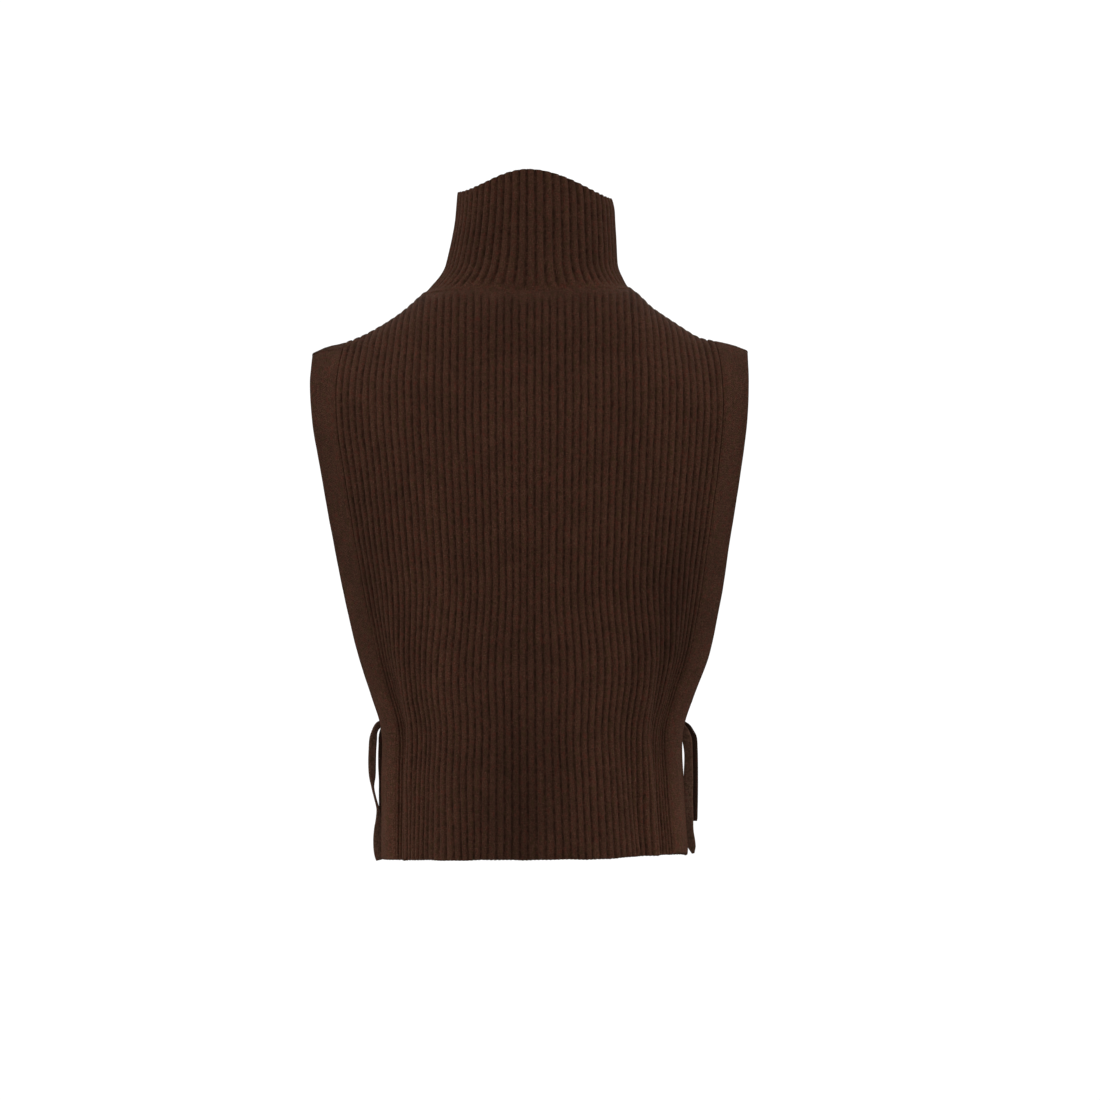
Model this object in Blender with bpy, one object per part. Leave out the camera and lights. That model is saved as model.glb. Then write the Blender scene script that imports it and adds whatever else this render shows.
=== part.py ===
"""Sleeveless rib-knit pullover with a high collar, open banded sides and waist ties.

Metres, +Z up.  The front of the garment faces -Y and the wearer's left is +X.
The origin lies between the shoulders, at the height of the neck's root, where
the wearer carries the garment.

The cloth keeps the hollow form it has when worn.  Two wide panels hang from
the shoulders, front and back.  Each has a plain-knit band down either side,
and the bands meet only at the waist, where two pairs of flat ties hold them.
"""
from collections import namedtuple
from math import pi

import bpy
import numpy as np

# ---------------------------------------------------------------- sizes
OBJECT_NAME = "rib_pullover"
WALL = 0.003             # thickness of the knit, ribs included
SEAM_GAP = 0.0003        # clear space between two pieces that are sewn together
SHOULDER_GAP = 0.0009    # the same at the shoulder seam, whose facets curve two ways
BAND_START = 0.872       # where the side band begins, as a part of the half width
ROUNDING = 1.3           # how late a section turns towards its edge
ROLL_DROP = 0.090        # how far below the shoulder line the cloth hangs plumb
ROLL_ARC = 0.145         # the same stretch measured along the cloth
FLAT_WIDTH = 0.470       # width of a panel and its two bands, laid flat
NEARBY = 0.002           # how far apart the places lie that give a slope

# Sections of the body, top to hem: half widths, centre depths and the angle
# in degrees to which the cloth has turned at its side edge.
Section = namedtuple("Section", "height left right back front back_turn front_turn")
SECTIONS = (
    Section(-0.070, 0.2180, 0.2163, 0.092, 0.092, 38, 38),
    Section(-0.100, 0.2203, 0.2170, 0.100, 0.104, 38, 40),
    Section(-0.140, 0.2172, 0.2150, 0.106, 0.116, 40, 44),
    Section(-0.200, 0.2068, 0.2068, 0.108, 0.124, 45, 50),
    Section(-0.260, 0.1962, 0.1975, 0.104, 0.122, 50, 55),
    Section(-0.320, 0.1838, 0.1880, 0.099, 0.117, 55, 60),
    Section(-0.378, 0.1697, 0.1748, 0.098, 0.113, 61, 65),
    Section(-0.412, 0.1586, 0.1618, 0.100, 0.114, 66, 68),
    Section(-0.438, 0.1500, 0.1527, 0.102, 0.115, 70, 72),
    Section(-0.500, 0.1482, 0.1512, 0.105, 0.116, 75, 77),
    Section(-0.577, 0.1478, 0.1558, 0.110, 0.119, 78, 80),
)

# Top line of the shoulders.  Over the neck it is only a guide for the cloth's roll.
Shoulder = namedtuple("Shoulder", "out left right")
SHOULDERS = (
    Shoulder(0.000, 0.0160, 0.0160),
    Shoulder(0.050, 0.0135, 0.0135),
    Shoulder(0.080, 0.0045, 0.0040),
    Shoulder(0.095, -0.0030, -0.0040),
    Shoulder(0.106, -0.0112, -0.0125),
    Shoulder(0.117, -0.0215, -0.0240),
    Shoulder(0.127, -0.0300, -0.0310),
    Shoulder(0.144, -0.0415, -0.0425),
    Shoulder(0.165, -0.0532, -0.0550),
    Shoulder(0.190, -0.0622, -0.0605),
    Shoulder(0.203, -0.0650, -0.0637),
    Shoulder(0.219, -0.0730, -0.0710),
)

# How the ribs lean in over the shoulder, and how far behind the shoulder line
# the seam lies on the wearer's left and right.
Crown = namedtuple("Crown", "across lean seam_left seam_right")
CROWNS = (
    Crown(0.00, 0.000, 0.009, 0.009),
    Crown(0.45, 0.006, 0.009, 0.009),
    Crown(0.65, 0.013, 0.010, 0.010),
    Crown(0.80, 0.012, 0.026, 0.015),
    Crown(0.90, 0.008, 0.034, 0.020),
    Crown(1.00, 0.000, 0.016, 0.014),
)

# Heights of the hem across each panel, from the wearer's right to the left.
Hem = namedtuple("Hem", "across back front")
HEMS = (
    Hem(-1.0, -0.5692, -0.5720),
    Hem(-0.7, -0.5705, -0.5730),
    Hem(-0.3, -0.5733, -0.5745),
    Hem(0.3, -0.5744, -0.5760),
    Hem(1.0, -0.5762, -0.5765),
)

# Largest soft folds: where the middle runs at the top and at the hem, the
# heights between which it grows, its half width along the section and its rise.
Fold = namedtuple("Fold", "panel across_top across_hem begins full width rise")
FOLDS = (
    Fold("back", 0.86, 0.80, -0.140, -0.480, 0.150, -0.0080),
    Fold("back", -0.86, -0.80, -0.180, -0.460, 0.150, -0.0085),
    Fold("back", 0.02, 0.03, -0.380, -0.560, 0.200, -0.0100),
    Fold("back", -0.52, -0.60, -0.420, -0.560, 0.110, -0.0050),
    Fold("back", 0.45, 0.36, -0.340, -0.540, 0.240, 0.0040),
    Fold("back", -0.30, -0.34, -0.360, -0.540, 0.230, 0.0045),
    Fold("front", 0.84, 0.79, -0.150, -0.470, 0.150, -0.0085),
    Fold("front", -0.85, -0.81, -0.170, -0.480, 0.150, -0.0075),
    Fold("front", -0.06, -0.10, -0.330, -0.550, 0.210, -0.0090),
    Fold("front", 0.50, 0.55, -0.400, -0.560, 0.130, -0.0060),
    Fold("front", 0.30, 0.26, -0.330, -0.550, 0.220, 0.0045),
)

# Neck opening: its half widths as parts of the panel's half width, and how
# far along the cloth its middle lies below the shoulder line.
NECK_LEFT = 0.490
NECK_RIGHT = 0.452
NECK_DROP = {"back": 0.071, "front": 0.114}

# Collar, seam to rim: half widths, middle and half depth of its tube.
Collar = namedtuple("Collar", "up left right middle depth")
COLLARS = (
    Collar(0.00, 0.0905, 0.0872, -0.0115, 0.0755),
    Collar(0.25, 0.0842, 0.0850, -0.0110, 0.0735),
    Collar(0.50, 0.0783, 0.0838, -0.0105, 0.0720),
    Collar(0.75, 0.0738, 0.0824, -0.0100, 0.0715),
    Collar(0.93, 0.0723, 0.0810, -0.0100, 0.0720),
    Collar(1.00, 0.0718, 0.0792, -0.0100, 0.0725),
)
COLLAR_FLARE = 0.30      # part of the collar's height in which it spreads to the seam
RIM_LEFT = 0.0900        # height of the rim above each side of the neck
RIM_RIGHT = 0.0835
RIM_SLOPE = 0.0245       # how far the rim rises to the back and falls to the front
RIM_CREST_LEFT = 3.5     # how late it rises to the back from each side
RIM_CREST_RIGHT = 2.9
RIM_DIP = 1.4            # how late it falls to the front

# How finely the cloth is divided.
SHOULDER_COLUMNS = 5
NECK_COLUMNS = 14
BAND_COLUMNS = 2
PANEL_ROWS = 30
COLLAR_ROWS = 9
ROW_EASING = 3           # how soon the rows of a panel stop following its top line
COLLAR_CROWDING = 1.25   # above 1, the collar's rows lie closer near the seam

# Ties: flat knitted straps, gathered where they pass through their knot.  Each
# station has a place on the middle of the strap, the strap's width there and
# the direction that the width takes.
TIE_THICKNESS = 0.003
TIE_STEP = 0.006         # spacing of the sections along a tie
Station = namedtuple("Station", "x y z width wide_x wide_y wide_z")
TIES = {
    "tie_back_left": (
        Station(0.1580, 0.0121, -0.4150, 0.0100, 0.0, 0.0, 1.0),
        Station(0.1573, 0.0085, -0.4152, 0.0098, 0.0, 0.0, 1.0),
        Station(0.1550, 0.0045, -0.4158, 0.0085, 0.2, 0.0, 1.0),
        Station(0.1516, 0.0010, -0.4178, 0.0072, 0.5, 0.1, 0.8),
        Station(0.1470, -0.0018, -0.4215, 0.0066, 0.8, 0.1, 0.5),
        Station(0.1446, -0.0028, -0.4265, 0.0066, 1.0, 0.0, 0.2),
        Station(0.1440, -0.0031, -0.4320, 0.0066, 1.0, 0.0, 0.0),
        Station(0.1445, -0.0031, -0.4385, 0.0068, 1.0, 0.0, 0.1),
        Station(0.1478, -0.0028, -0.4430, 0.0078, 1.0, 0.3, 0.3),
        Station(0.1530, -0.0023, -0.4452, 0.0095, 0.6, 0.8, 0.3),
        Station(0.1568, -0.0016, -0.4498, 0.0100, 0.5, 0.9, 0.1),
        Station(0.1586, -0.0010, -0.4570, 0.0100, 0.5, 0.9, 0.0),
        Station(0.1593, -0.0006, -0.4680, 0.0100, 0.5, 0.9, 0.0),
        Station(0.1595, -0.0003, -0.4800, 0.0100, 0.5, 0.9, 0.0),
        Station(0.1592, -0.0001, -0.4920, 0.0100, 0.4, 0.9, 0.0),
        Station(0.1582, 0.0001, -0.5040, 0.0098, 0.1, 1.0, 0.0),
        Station(0.1558, 0.0002, -0.5150, 0.0096, 0.0, 1.0, 0.0),
        Station(0.1532, 0.0002, -0.5250, 0.0096, 0.1, 1.0, 0.0),
        Station(0.1522, 0.0000, -0.5350, 0.0098, 0.5, 0.9, 0.0),
        Station(0.1527, -0.0004, -0.5460, 0.0100, 0.8, 0.6, 0.0),
        Station(0.1531, -0.0008, -0.5570, 0.0100, 0.9, 0.4, 0.0),
        Station(0.1526, -0.0010, -0.5680, 0.0100, 0.9, 0.4, 0.0),
        Station(0.1508, -0.0010, -0.5770, 0.0096, 0.9, 0.4, 0.0),
    ),
    "tie_front_left": (
        Station(0.1578, -0.0228, -0.4150, 0.0100, 0.0, 0.0, 1.0),
        Station(0.1571, -0.0190, -0.4152, 0.0098, 0.0, 0.0, 1.0),
        Station(0.1548, -0.0148, -0.4158, 0.0085, 0.2, 0.0, 1.0),
        Station(0.1514, -0.0112, -0.4178, 0.0072, 0.5, -0.1, 0.8),
        Station(0.1468, -0.0083, -0.4215, 0.0066, 0.8, -0.1, 0.5),
        Station(0.1445, -0.0072, -0.4265, 0.0066, 1.0, 0.0, 0.2),
        Station(0.1440, -0.0069, -0.4320, 0.0066, 1.0, 0.0, 0.0),
        Station(0.1438, -0.0076, -0.4385, 0.0068, 1.0, 0.0, 0.0),
        Station(0.1441, -0.0092, -0.4450, 0.0078, 0.9, 0.3, 0.0),
        Station(0.1460, -0.0102, -0.4530, 0.0088, 0.5, 0.8, 0.0),
        Station(0.1482, -0.0104, -0.4620, 0.0090, 0.2, 1.0, 0.0),
        Station(0.1493, -0.0107, -0.4720, 0.0090, 0.1, 1.0, 0.0),
        Station(0.1497, -0.0108, -0.4840, 0.0090, 0.1, 1.0, 0.0),
        Station(0.1498, -0.0108, -0.4970, 0.0090, 0.1, 1.0, 0.0),
        Station(0.1498, -0.0107, -0.5100, 0.0090, 0.1, 1.0, 0.0),
        Station(0.1497, -0.0106, -0.5220, 0.0090, 0.1, 1.0, 0.0),
        Station(0.1495, -0.0105, -0.5350, 0.0090, 0.1, 1.0, 0.0),
    ),
    "tie_back_right": (
        Station(-0.1614, 0.0103, -0.4150, 0.0100, 0.0, 0.0, 1.0),
        Station(-0.1606, 0.0065, -0.4152, 0.0098, 0.0, 0.0, 1.0),
        Station(-0.1584, 0.0028, -0.4158, 0.0085, -0.2, 0.0, 1.0),
        Station(-0.1556, -0.0002, -0.4178, 0.0072, -0.5, 0.1, 0.8),
        Station(-0.1512, -0.0024, -0.4215, 0.0066, -0.8, 0.1, 0.5),
        Station(-0.1486, -0.0033, -0.4265, 0.0066, -1.0, 0.0, 0.2),
        Station(-0.1480, -0.0036, -0.4320, 0.0066, -1.0, 0.0, 0.0),
        Station(-0.1483, -0.0035, -0.4385, 0.0068, -1.0, 0.1, 0.0),
        Station(-0.1503, -0.0024, -0.4440, 0.0080, -0.9, 0.5, 0.2),
        Station(-0.1534, -0.0012, -0.4495, 0.0095, -0.6, 0.8, 0.2),
        Station(-0.1560, -0.0006, -0.4570, 0.0100, -0.5, 0.9, 0.1),
        Station(-0.1569, 0.0001, -0.4670, 0.0100, -0.5, 0.9, 0.0),
        Station(-0.1572, 0.0003, -0.4790, 0.0100, -0.5, 0.9, 0.0),
        Station(-0.1573, 0.0003, -0.4920, 0.0100, -0.5, 0.9, 0.0),
        Station(-0.1573, 0.0003, -0.5060, 0.0100, -0.5, 0.9, 0.0),
        Station(-0.1574, 0.0002, -0.5200, 0.0100, -0.5, 0.9, 0.0),
        Station(-0.1577, 0.0001, -0.5340, 0.0100, -0.5, 0.9, 0.0),
        Station(-0.1586, 0.0000, -0.5470, 0.0102, -0.7, 0.7, 0.0),
        Station(-0.1600, 0.0000, -0.5590, 0.0098, -0.8, 0.5, 0.0),
        Station(-0.1622, 0.0002, -0.5705, 0.0070, -0.8, 0.5, 0.0),
    ),
    "tie_front_right": (
        Station(-0.1611, -0.0209, -0.4150, 0.0100, 0.0, 0.0, 1.0),
        Station(-0.1604, -0.0170, -0.4152, 0.0098, 0.0, 0.0, 1.0),
        Station(-0.1584, -0.0137, -0.4158, 0.0085, -0.2, 0.0, 1.0),
        Station(-0.1556, -0.0107, -0.4178, 0.0072, -0.5, -0.1, 0.8),
        Station(-0.1512, -0.0086, -0.4215, 0.0066, -0.8, -0.1, 0.5),
        Station(-0.1486, -0.0077, -0.4265, 0.0066, -1.0, 0.0, 0.2),
        Station(-0.1480, -0.0074, -0.4320, 0.0066, -1.0, 0.0, 0.0),
        Station(-0.1486, -0.0078, -0.4378, 0.0068, -1.0, 0.0, 0.1),
        Station(-0.1520, -0.0096, -0.4415, 0.0078, -0.9, 0.3, 0.5),
        Station(-0.1564, -0.0108, -0.4440, 0.0092, -0.6, 0.8, 0.4),
        Station(-0.1600, -0.0110, -0.4480, 0.0100, -0.4, 0.9, 0.1),
        Station(-0.1618, -0.0108, -0.4550, 0.0100, -0.4, 0.9, 0.0),
        Station(-0.1625, -0.0109, -0.4650, 0.0100, -0.4, 0.9, 0.0),
        Station(-0.1628, -0.0110, -0.4770, 0.0100, -0.4, 0.9, 0.0),
        Station(-0.1629, -0.0110, -0.4900, 0.0100, -0.4, 0.9, 0.0),
        Station(-0.1629, -0.0110, -0.5020, 0.0100, -0.4, 0.9, 0.0),
        Station(-0.1628, -0.0110, -0.5140, 0.0100, -0.4, 0.9, 0.0),
        Station(-0.1626, -0.0109, -0.5260, 0.0100, -0.4, 0.9, 0.0),
        Station(-0.1624, -0.0108, -0.5370, 0.0100, -0.4, 0.9, 0.0),
    ),
}

# Knots: one strap's turn around both, a ring that is taller than it is thick.
Knot = namedtuple("Knot", "x y z")
KNOTS = {
    "knot_left": Knot(0.1440, -0.0050, -0.4320),
    "knot_right": Knot(-0.1480, -0.0055, -0.4320),
}
KNOT_RADIUS = 0.0076     # from the middle of the knot to the middle of its wrap
KNOT_WRAP = 0.0024       # half the thickness of the wrapped strap
KNOT_STRETCH = 1.9       # the wrap is this many times as tall as it is thick

COLOURS = {
    "rib_knit": (0.038, 0.017, 0.010, 1.0),
    "plain_knit": (0.042, 0.019, 0.011, 1.0),
    "tie_knit": (0.034, 0.015, 0.009, 1.0),
}


# ---------------------------------------------------------------- curves
def read_table(rows, key, column, at):
    """Values of one column on a smooth curve through a table's rows."""
    order = sorted(rows, key=lambda row: getattr(row, key))
    knots = np.array([getattr(row, key) for row in order])
    values = np.array([getattr(row, column) for row in order], dtype=float)
    at = np.clip(at, knots[0], knots[-1])
    slopes = np.gradient(values, knots)
    index = np.clip(np.searchsorted(knots, at) - 1, 0, len(knots) - 2)
    span = knots[index + 1] - knots[index]
    part = (at - knots[index]) / span
    start = (1 + 2 * part) * (1 - part) ** 2 * values[index]
    end = part ** 2 * (3 - 2 * part) * values[index + 1]
    leave = part * (1 - part) ** 2 * span * slopes[index]
    arrive = part ** 2 * (part - 1) * span * slopes[index + 1]
    return start + end + leave + arrive


GAUSS_AT, GAUSS_WEIGHT = np.polynomial.legendre.leggauss(8)
GAUSS_AT = (GAUSS_AT + 1) / 2
GAUSS_WEIGHT = GAUSS_WEIGHT / 2


def bend(turn, across):
    """Reach and drop of a unit strip of cloth that turns steadily to its edge."""
    part = np.abs(across)[..., None] * GAUSS_AT
    angle = np.asarray(turn)[..., None] * part ** ROUNDING
    reach = np.abs(across) * np.sum(GAUSS_WEIGHT * np.cos(angle), axis=-1)
    drop = np.abs(across) * np.sum(GAUSS_WEIGHT * np.sin(angle), axis=-1)
    return reach, drop


def smooth_step(value):
    """Ease from 0 to 1."""
    value = np.clip(value, 0.0, 1.0)
    return value * value * (3 - 2 * value)


# ---------------------------------------------------------------- body cloth
def half_width(across, height):
    """Half width of the body on the side that a place lies on."""
    left = read_table(SECTIONS, "height", "left", height)
    right = read_table(SECTIONS, "height", "right", height)
    return np.where(across >= 0, left, right)


def seam_place(across):
    """How far along the cloth the shoulder seam lies behind the shoulder line."""
    left = read_table(CROWNS, "across", "seam_left", np.abs(across))
    right = read_table(CROWNS, "across", "seam_right", np.abs(across))
    return np.where(across >= 0, left, right)


def fold_rise(panel, across, height):
    """How far the folds lift the cloth of a panel off its plain form."""
    rise = np.zeros_like(across)
    for fold in FOLDS:
        if fold.panel != panel:
            continue
        grown = smooth_step((fold.begins - height) / (fold.begins - fold.full))
        travel = smooth_step((fold.begins - height) / (fold.begins - SECTIONS[-1].height))
        middle = fold.across_top + (fold.across_hem - fold.across_top) * travel
        reach = np.clip(np.abs(across - middle) / fold.width, 0.0, 1.0)
        rise += fold.rise * grown * (0.5 + 0.5 * np.cos(pi * reach))
    return rise


def hang(panel, across, down):
    """Points on the middle of a panel's cloth.

    across runs from -1 at the wearer's right edge to 1 at the left edge, and
    down is the distance along the cloth from the shoulder line.
    """
    sign = 1.0 if panel == "back" else -1.0
    side = np.where(across >= 0, 1.0, -1.0)
    roll = np.clip(down / ROLL_ARC, 0.0, 1.0) * pi / 2
    crown_turn = np.radians(SECTIONS[0].back_turn)
    crown_reach = bend(crown_turn, across)[0] / bend(crown_turn, np.ones_like(across))[0]
    lean = read_table(CROWNS, "across", "lean", np.abs(across))
    crown_out = half_width(across, SECTIONS[0].height) * crown_reach - lean
    top = np.where(across >= 0, read_table(SHOULDERS, "out", "left", crown_out),
                   read_table(SHOULDERS, "out", "right", crown_out))
    height = top - ROLL_DROP * (1 - np.cos(roll)) - np.maximum(down - ROLL_ARC, 0.0)

    turn = np.radians(read_table(SECTIONS, "height", panel + "_turn", height))
    reach, drop = bend(turn, across)
    edge_reach, _ = bend(turn, np.ones_like(across))
    cloth = half_width(across, height) / edge_reach
    depth = read_table(SECTIONS, "height", panel, height)
    still_leaning = (1 - np.clip(down / ROLL_ARC, 0.0, 1.0)) ** 2
    out = cloth * reach - lean * still_leaning
    back = (depth - cloth * drop) * np.sin(roll)

    angle = turn * np.abs(across) ** ROUNDING
    rise = fold_rise(panel, across, height)
    out = out + rise * np.sin(angle)
    back = back + rise * np.cos(angle)
    return np.stack([side * out, sign * back, height], axis=-1)


def body_points(panel, across, down):
    """As hang, but a front place with a negative down lies behind the shoulder line."""
    if panel == "back":
        return hang("back", across, down)
    over = (down < 0)[..., None]
    return np.where(over, hang("back", across, np.abs(down)), hang("front", across, down))


def body_normals(panel, across, down):
    """Outward directions at places on a panel."""
    sideways = body_points(panel, across + NEARBY, down) - body_points(panel, across - NEARBY, down)
    downwards = body_points(panel, across, down + NEARBY) - body_points(panel, across, down - NEARBY)
    normal = np.cross(sideways, downwards)
    if panel == "front":
        normal = -normal
    return normal / np.linalg.norm(normal, axis=-1, keepdims=True)


def neck_share(across):
    """How far out towards the neck's corner a place lies, from -1 to 1."""
    corner = np.where(across >= 0, NECK_LEFT, NECK_RIGHT)
    return np.clip(across / corner, -1.0, 1.0)


def top_line(panel, across):
    """Where a panel's cloth starts: at the shoulder seam or at the neck seam."""
    seam = seam_place(across)
    if panel == "front":
        seam = -seam
    dip = np.sqrt(1 - neck_share(across) ** 2)
    return seam + (NECK_DROP[panel] - seam) * dip


def hem_line(panel, across):
    """How far along the cloth the hem lies below the shoulder line."""
    crown = hang(panel, across, np.zeros_like(across))[..., 2]
    hem = read_table(HEMS, "across", panel, across)
    return crown - hem - ROLL_DROP + ROLL_ARC


def body_grid(panel, columns, rows):
    """Points and outward directions of a stretch of a panel, row by row from the top."""
    across = np.tile(columns, (rows + 1, 1))
    part = np.linspace(0.0, 1.0, rows + 1)[:, None]
    top = top_line(panel, across) + SHOULDER_GAP / 2
    down = part * hem_line(panel, across) + top * (1 - part) ** ROW_EASING
    return body_points(panel, across, down), body_normals(panel, across, down)


def panel_columns():
    """Places across a panel between its bands, with one at each corner of the neck."""
    edge = BAND_START - SEAM_GAP / FLAT_WIDTH
    right = np.linspace(-edge, -NECK_RIGHT, SHOULDER_COLUMNS + 1)
    left = np.linspace(NECK_LEFT, edge, SHOULDER_COLUMNS + 1)
    swing = np.sin(np.linspace(-pi / 2, pi / 2, NECK_COLUMNS + 1))
    neck = np.where(swing < 0, swing * NECK_RIGHT, swing * NECK_LEFT)
    return np.concatenate([right[:-1], neck, left[1:]])


def band_columns(side):
    """Places across a side band, from its seam to its free edge."""
    places = np.linspace(BAND_START + SEAM_GAP / FLAT_WIDTH, 1.0, BAND_COLUMNS + 1)
    return places if side > 0 else -places[::-1]


# ---------------------------------------------------------------- collar
def collar_seam(angle):
    """Neck seam around the collar: points and outward directions.

    The angle runs from 0 at the back, through a right angle at the wearer's left.
    """
    swing = np.sin(angle)
    across = np.where(swing >= 0, swing * NECK_LEFT, swing * NECK_RIGHT)
    points = {}
    normals = {}
    for panel in ("back", "front"):
        down = top_line(panel, across)
        points[panel] = body_points(panel, across, down)
        normals[panel] = body_normals(panel, across, down)
    behind = (np.cos(angle) >= 0)[..., None]
    point = np.where(behind, points["back"], points["front"])
    normal = np.where(behind, normals["back"], normals["front"])
    return point, normal


def collar_tube(angle, up):
    """Points of the collar's plain tube, without its spread at the seam."""
    swing = np.sin(angle)
    left = read_table(COLLARS, "up", "left", up)
    right = read_table(COLLARS, "up", "right", up)
    middle = read_table(COLLARS, "up", "middle", up)
    depth = read_table(COLLARS, "up", "depth", up)
    out = np.where(swing >= 0, left, right) * swing
    return np.stack([out, middle + depth * np.cos(angle)], axis=-1)


def rim_height(angle):
    """Height of the collar's rim."""
    swing = np.sin(angle)
    towards_back = np.cos(angle)
    side = (RIM_LEFT + RIM_RIGHT) / 2 + (RIM_LEFT - RIM_RIGHT) / 2 * swing
    crest = np.where(swing >= 0, RIM_CREST_LEFT, RIM_CREST_RIGHT)
    rise = np.clip(towards_back, 0.0, 1.0) ** crest
    fall = np.clip(-towards_back, 0.0, 1.0) ** RIM_DIP
    return side + RIM_SLOPE * (rise - fall)


def collar_points(angle, up):
    """Points on the middle of the collar's cloth, from the seam to the rim."""
    seam, normal = collar_seam(angle)
    along = collar_seam(angle + NEARBY)[0] - collar_seam(angle - NEARBY)[0]
    inward = np.cross(along, normal)
    inward = inward / np.linalg.norm(inward, axis=-1, keepdims=True)
    seam = seam + inward * SEAM_GAP
    spread = np.clip(1 - up / COLLAR_FLARE, 0.0, 1.0) ** 2
    tube = collar_tube(angle, up)
    root = collar_tube(angle, np.zeros_like(up))
    flat = tube + (seam[..., :2] - root) * spread[..., None]
    height = seam[..., 2] + (rim_height(angle) - seam[..., 2]) * up
    return np.concatenate([flat, height[..., None]], axis=-1)


def collar_normals(angle, up):
    """Outward directions on the collar; at the seam they are the panels' own."""
    around = collar_points(angle + NEARBY, up) - collar_points(angle - NEARBY, up)
    high = np.clip(up + NEARBY, 0.0, 1.0)
    low = np.clip(up - NEARBY, 0.0, 1.0)
    upwards = collar_points(angle, high) - collar_points(angle, low)
    normal = np.cross(upwards, around)
    normal = normal / np.linalg.norm(normal, axis=-1, keepdims=True)
    at_seam = (up < NEARBY)[..., None]
    return np.where(at_seam, collar_seam(angle)[1], normal)


# ---------------------------------------------------------------- meshes
def material(name):
    """A knit's material."""
    made = bpy.data.materials.get(name)
    if made is None:
        made = bpy.data.materials.new(name)
        made.use_nodes = True
        shader = made.node_tree.nodes["Principled BSDF"]
        shader.inputs["Base Color"].default_value = COLOURS[name]
        shader.inputs["Roughness"].default_value = 0.95
        shader.inputs["Metallic"].default_value = 0.0
    return made


def add_object(name, vertices, faces, finish, collection):
    """A mesh object in the garment's collection."""
    mesh = bpy.data.meshes.new(name)
    mesh.from_pydata(vertices, [], faces)
    mesh.materials.append(material(finish))
    mesh.update()
    mesh.shade_smooth()
    mesh.set_sharp_from_angle(angle=pi / 4)
    made = bpy.data.objects.new(name, mesh)
    collection.objects.link(made)
    return made


def wall_faces(rows, columns, closed):
    """Faces of a wall whose outer grid of points is followed by its inner grid."""
    inner = rows * columns
    faces = []
    last = columns if closed else columns - 1

    def corner(row, column, offset):
        return offset + row * columns + column % columns

    for row in range(rows - 1):
        for column in range(last):
            ring = [(row, column), (row + 1, column), (row + 1, column + 1), (row, column + 1)]
            faces.append([corner(r, c, 0) for r, c in ring])
            faces.append([corner(r, c, inner) for r, c in reversed(ring)])
    for column in range(last):
        for row, order in ((0, 1), (rows - 1, -1)):
            rim = [corner(row, column, 0), corner(row, column + 1, 0),
                   corner(row, column + 1, inner), corner(row, column, inner)]
            faces.append(rim[::order])
    if not closed:
        for row in range(rows - 1):
            for column, order in ((0, -1), (columns - 1, 1)):
                rim = [corner(row, column, 0), corner(row + 1, column, 0),
                       corner(row + 1, column, inner), corner(row, column, inner)]
                faces.append(rim[::order])
    return faces


def add_wall(name, points, normals, closed, finish, collection):
    """Cloth of the full thickness around a grid of points."""
    rows, columns = points.shape[:2]
    outer = points + normals * WALL / 2
    inner = points - normals * WALL / 2
    vertices = np.concatenate([outer.reshape(-1, 3), inner.reshape(-1, 3)])
    faces = wall_faces(rows, columns, closed)
    first_corner = np.cross(points[1, 0] - points[0, 0], points[0, 1] - points[0, 0])
    if np.dot(first_corner, normals[0, 0]) < 0:
        faces = [face[::-1] for face in faces]
    return add_object(name, vertices.tolist(), faces, finish, collection)


def add_panel(panel, collection):
    """The ribbed front or back."""
    points, normals = body_grid(panel, panel_columns(), PANEL_ROWS)
    add_wall(panel + "_panel", points, normals, False, "rib_knit", collection)


def add_band(panel, side, collection):
    """A plain-knit band along one side of a panel."""
    points, normals = body_grid(panel, band_columns(side), PANEL_ROWS)
    name = "band_" + panel + ("_left" if side > 0 else "_right")
    add_wall(name, points, normals, False, "plain_knit", collection)


def add_collar(collection):
    """The high ribbed collar."""
    angles = np.linspace(0.0, 2 * pi, 2 * NECK_COLUMNS, endpoint=False)
    heights = np.linspace(0.0, 1.0, COLLAR_ROWS + 1) ** COLLAR_CROWDING
    angle, up = np.meshgrid(angles, heights)
    points = collar_points(angle, up)
    normals = collar_normals(angle, up)
    add_wall("collar", points, normals, True, "rib_knit", collection)


def smooth_route(stations, step):
    """Points on a smooth curve through a tie's stations, evenly spaced, with their widths."""
    rows = np.array(stations)
    padded = np.concatenate([[2 * rows[0] - rows[1]], rows, [2 * rows[-1] - rows[-2]]])
    part = np.linspace(0.0, 1.0, 13)[:-1, None]
    pieces = []
    for before, start, end, after in zip(padded, padded[1:], padded[2:], padded[3:]):
        bend_out = 2 * before - 5 * start + 4 * end - after
        bend_back = 3 * start - before - 3 * end + after
        pieces.append(start + (end - before) * part / 2 + bend_out * part ** 2 / 2
                      + bend_back * part ** 3 / 2)
    dense = np.concatenate(pieces + [rows[-1:]])
    lengths = np.linalg.norm(np.diff(dense[:, :3], axis=0), axis=1)
    gone = np.concatenate([[0.0], np.cumsum(lengths)])
    count = int(round(gone[-1] / step))
    stops = np.linspace(0.0, gone[-1], count + 1)
    return np.stack([np.interp(stops, gone, column) for column in dense.T], axis=-1)


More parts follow.
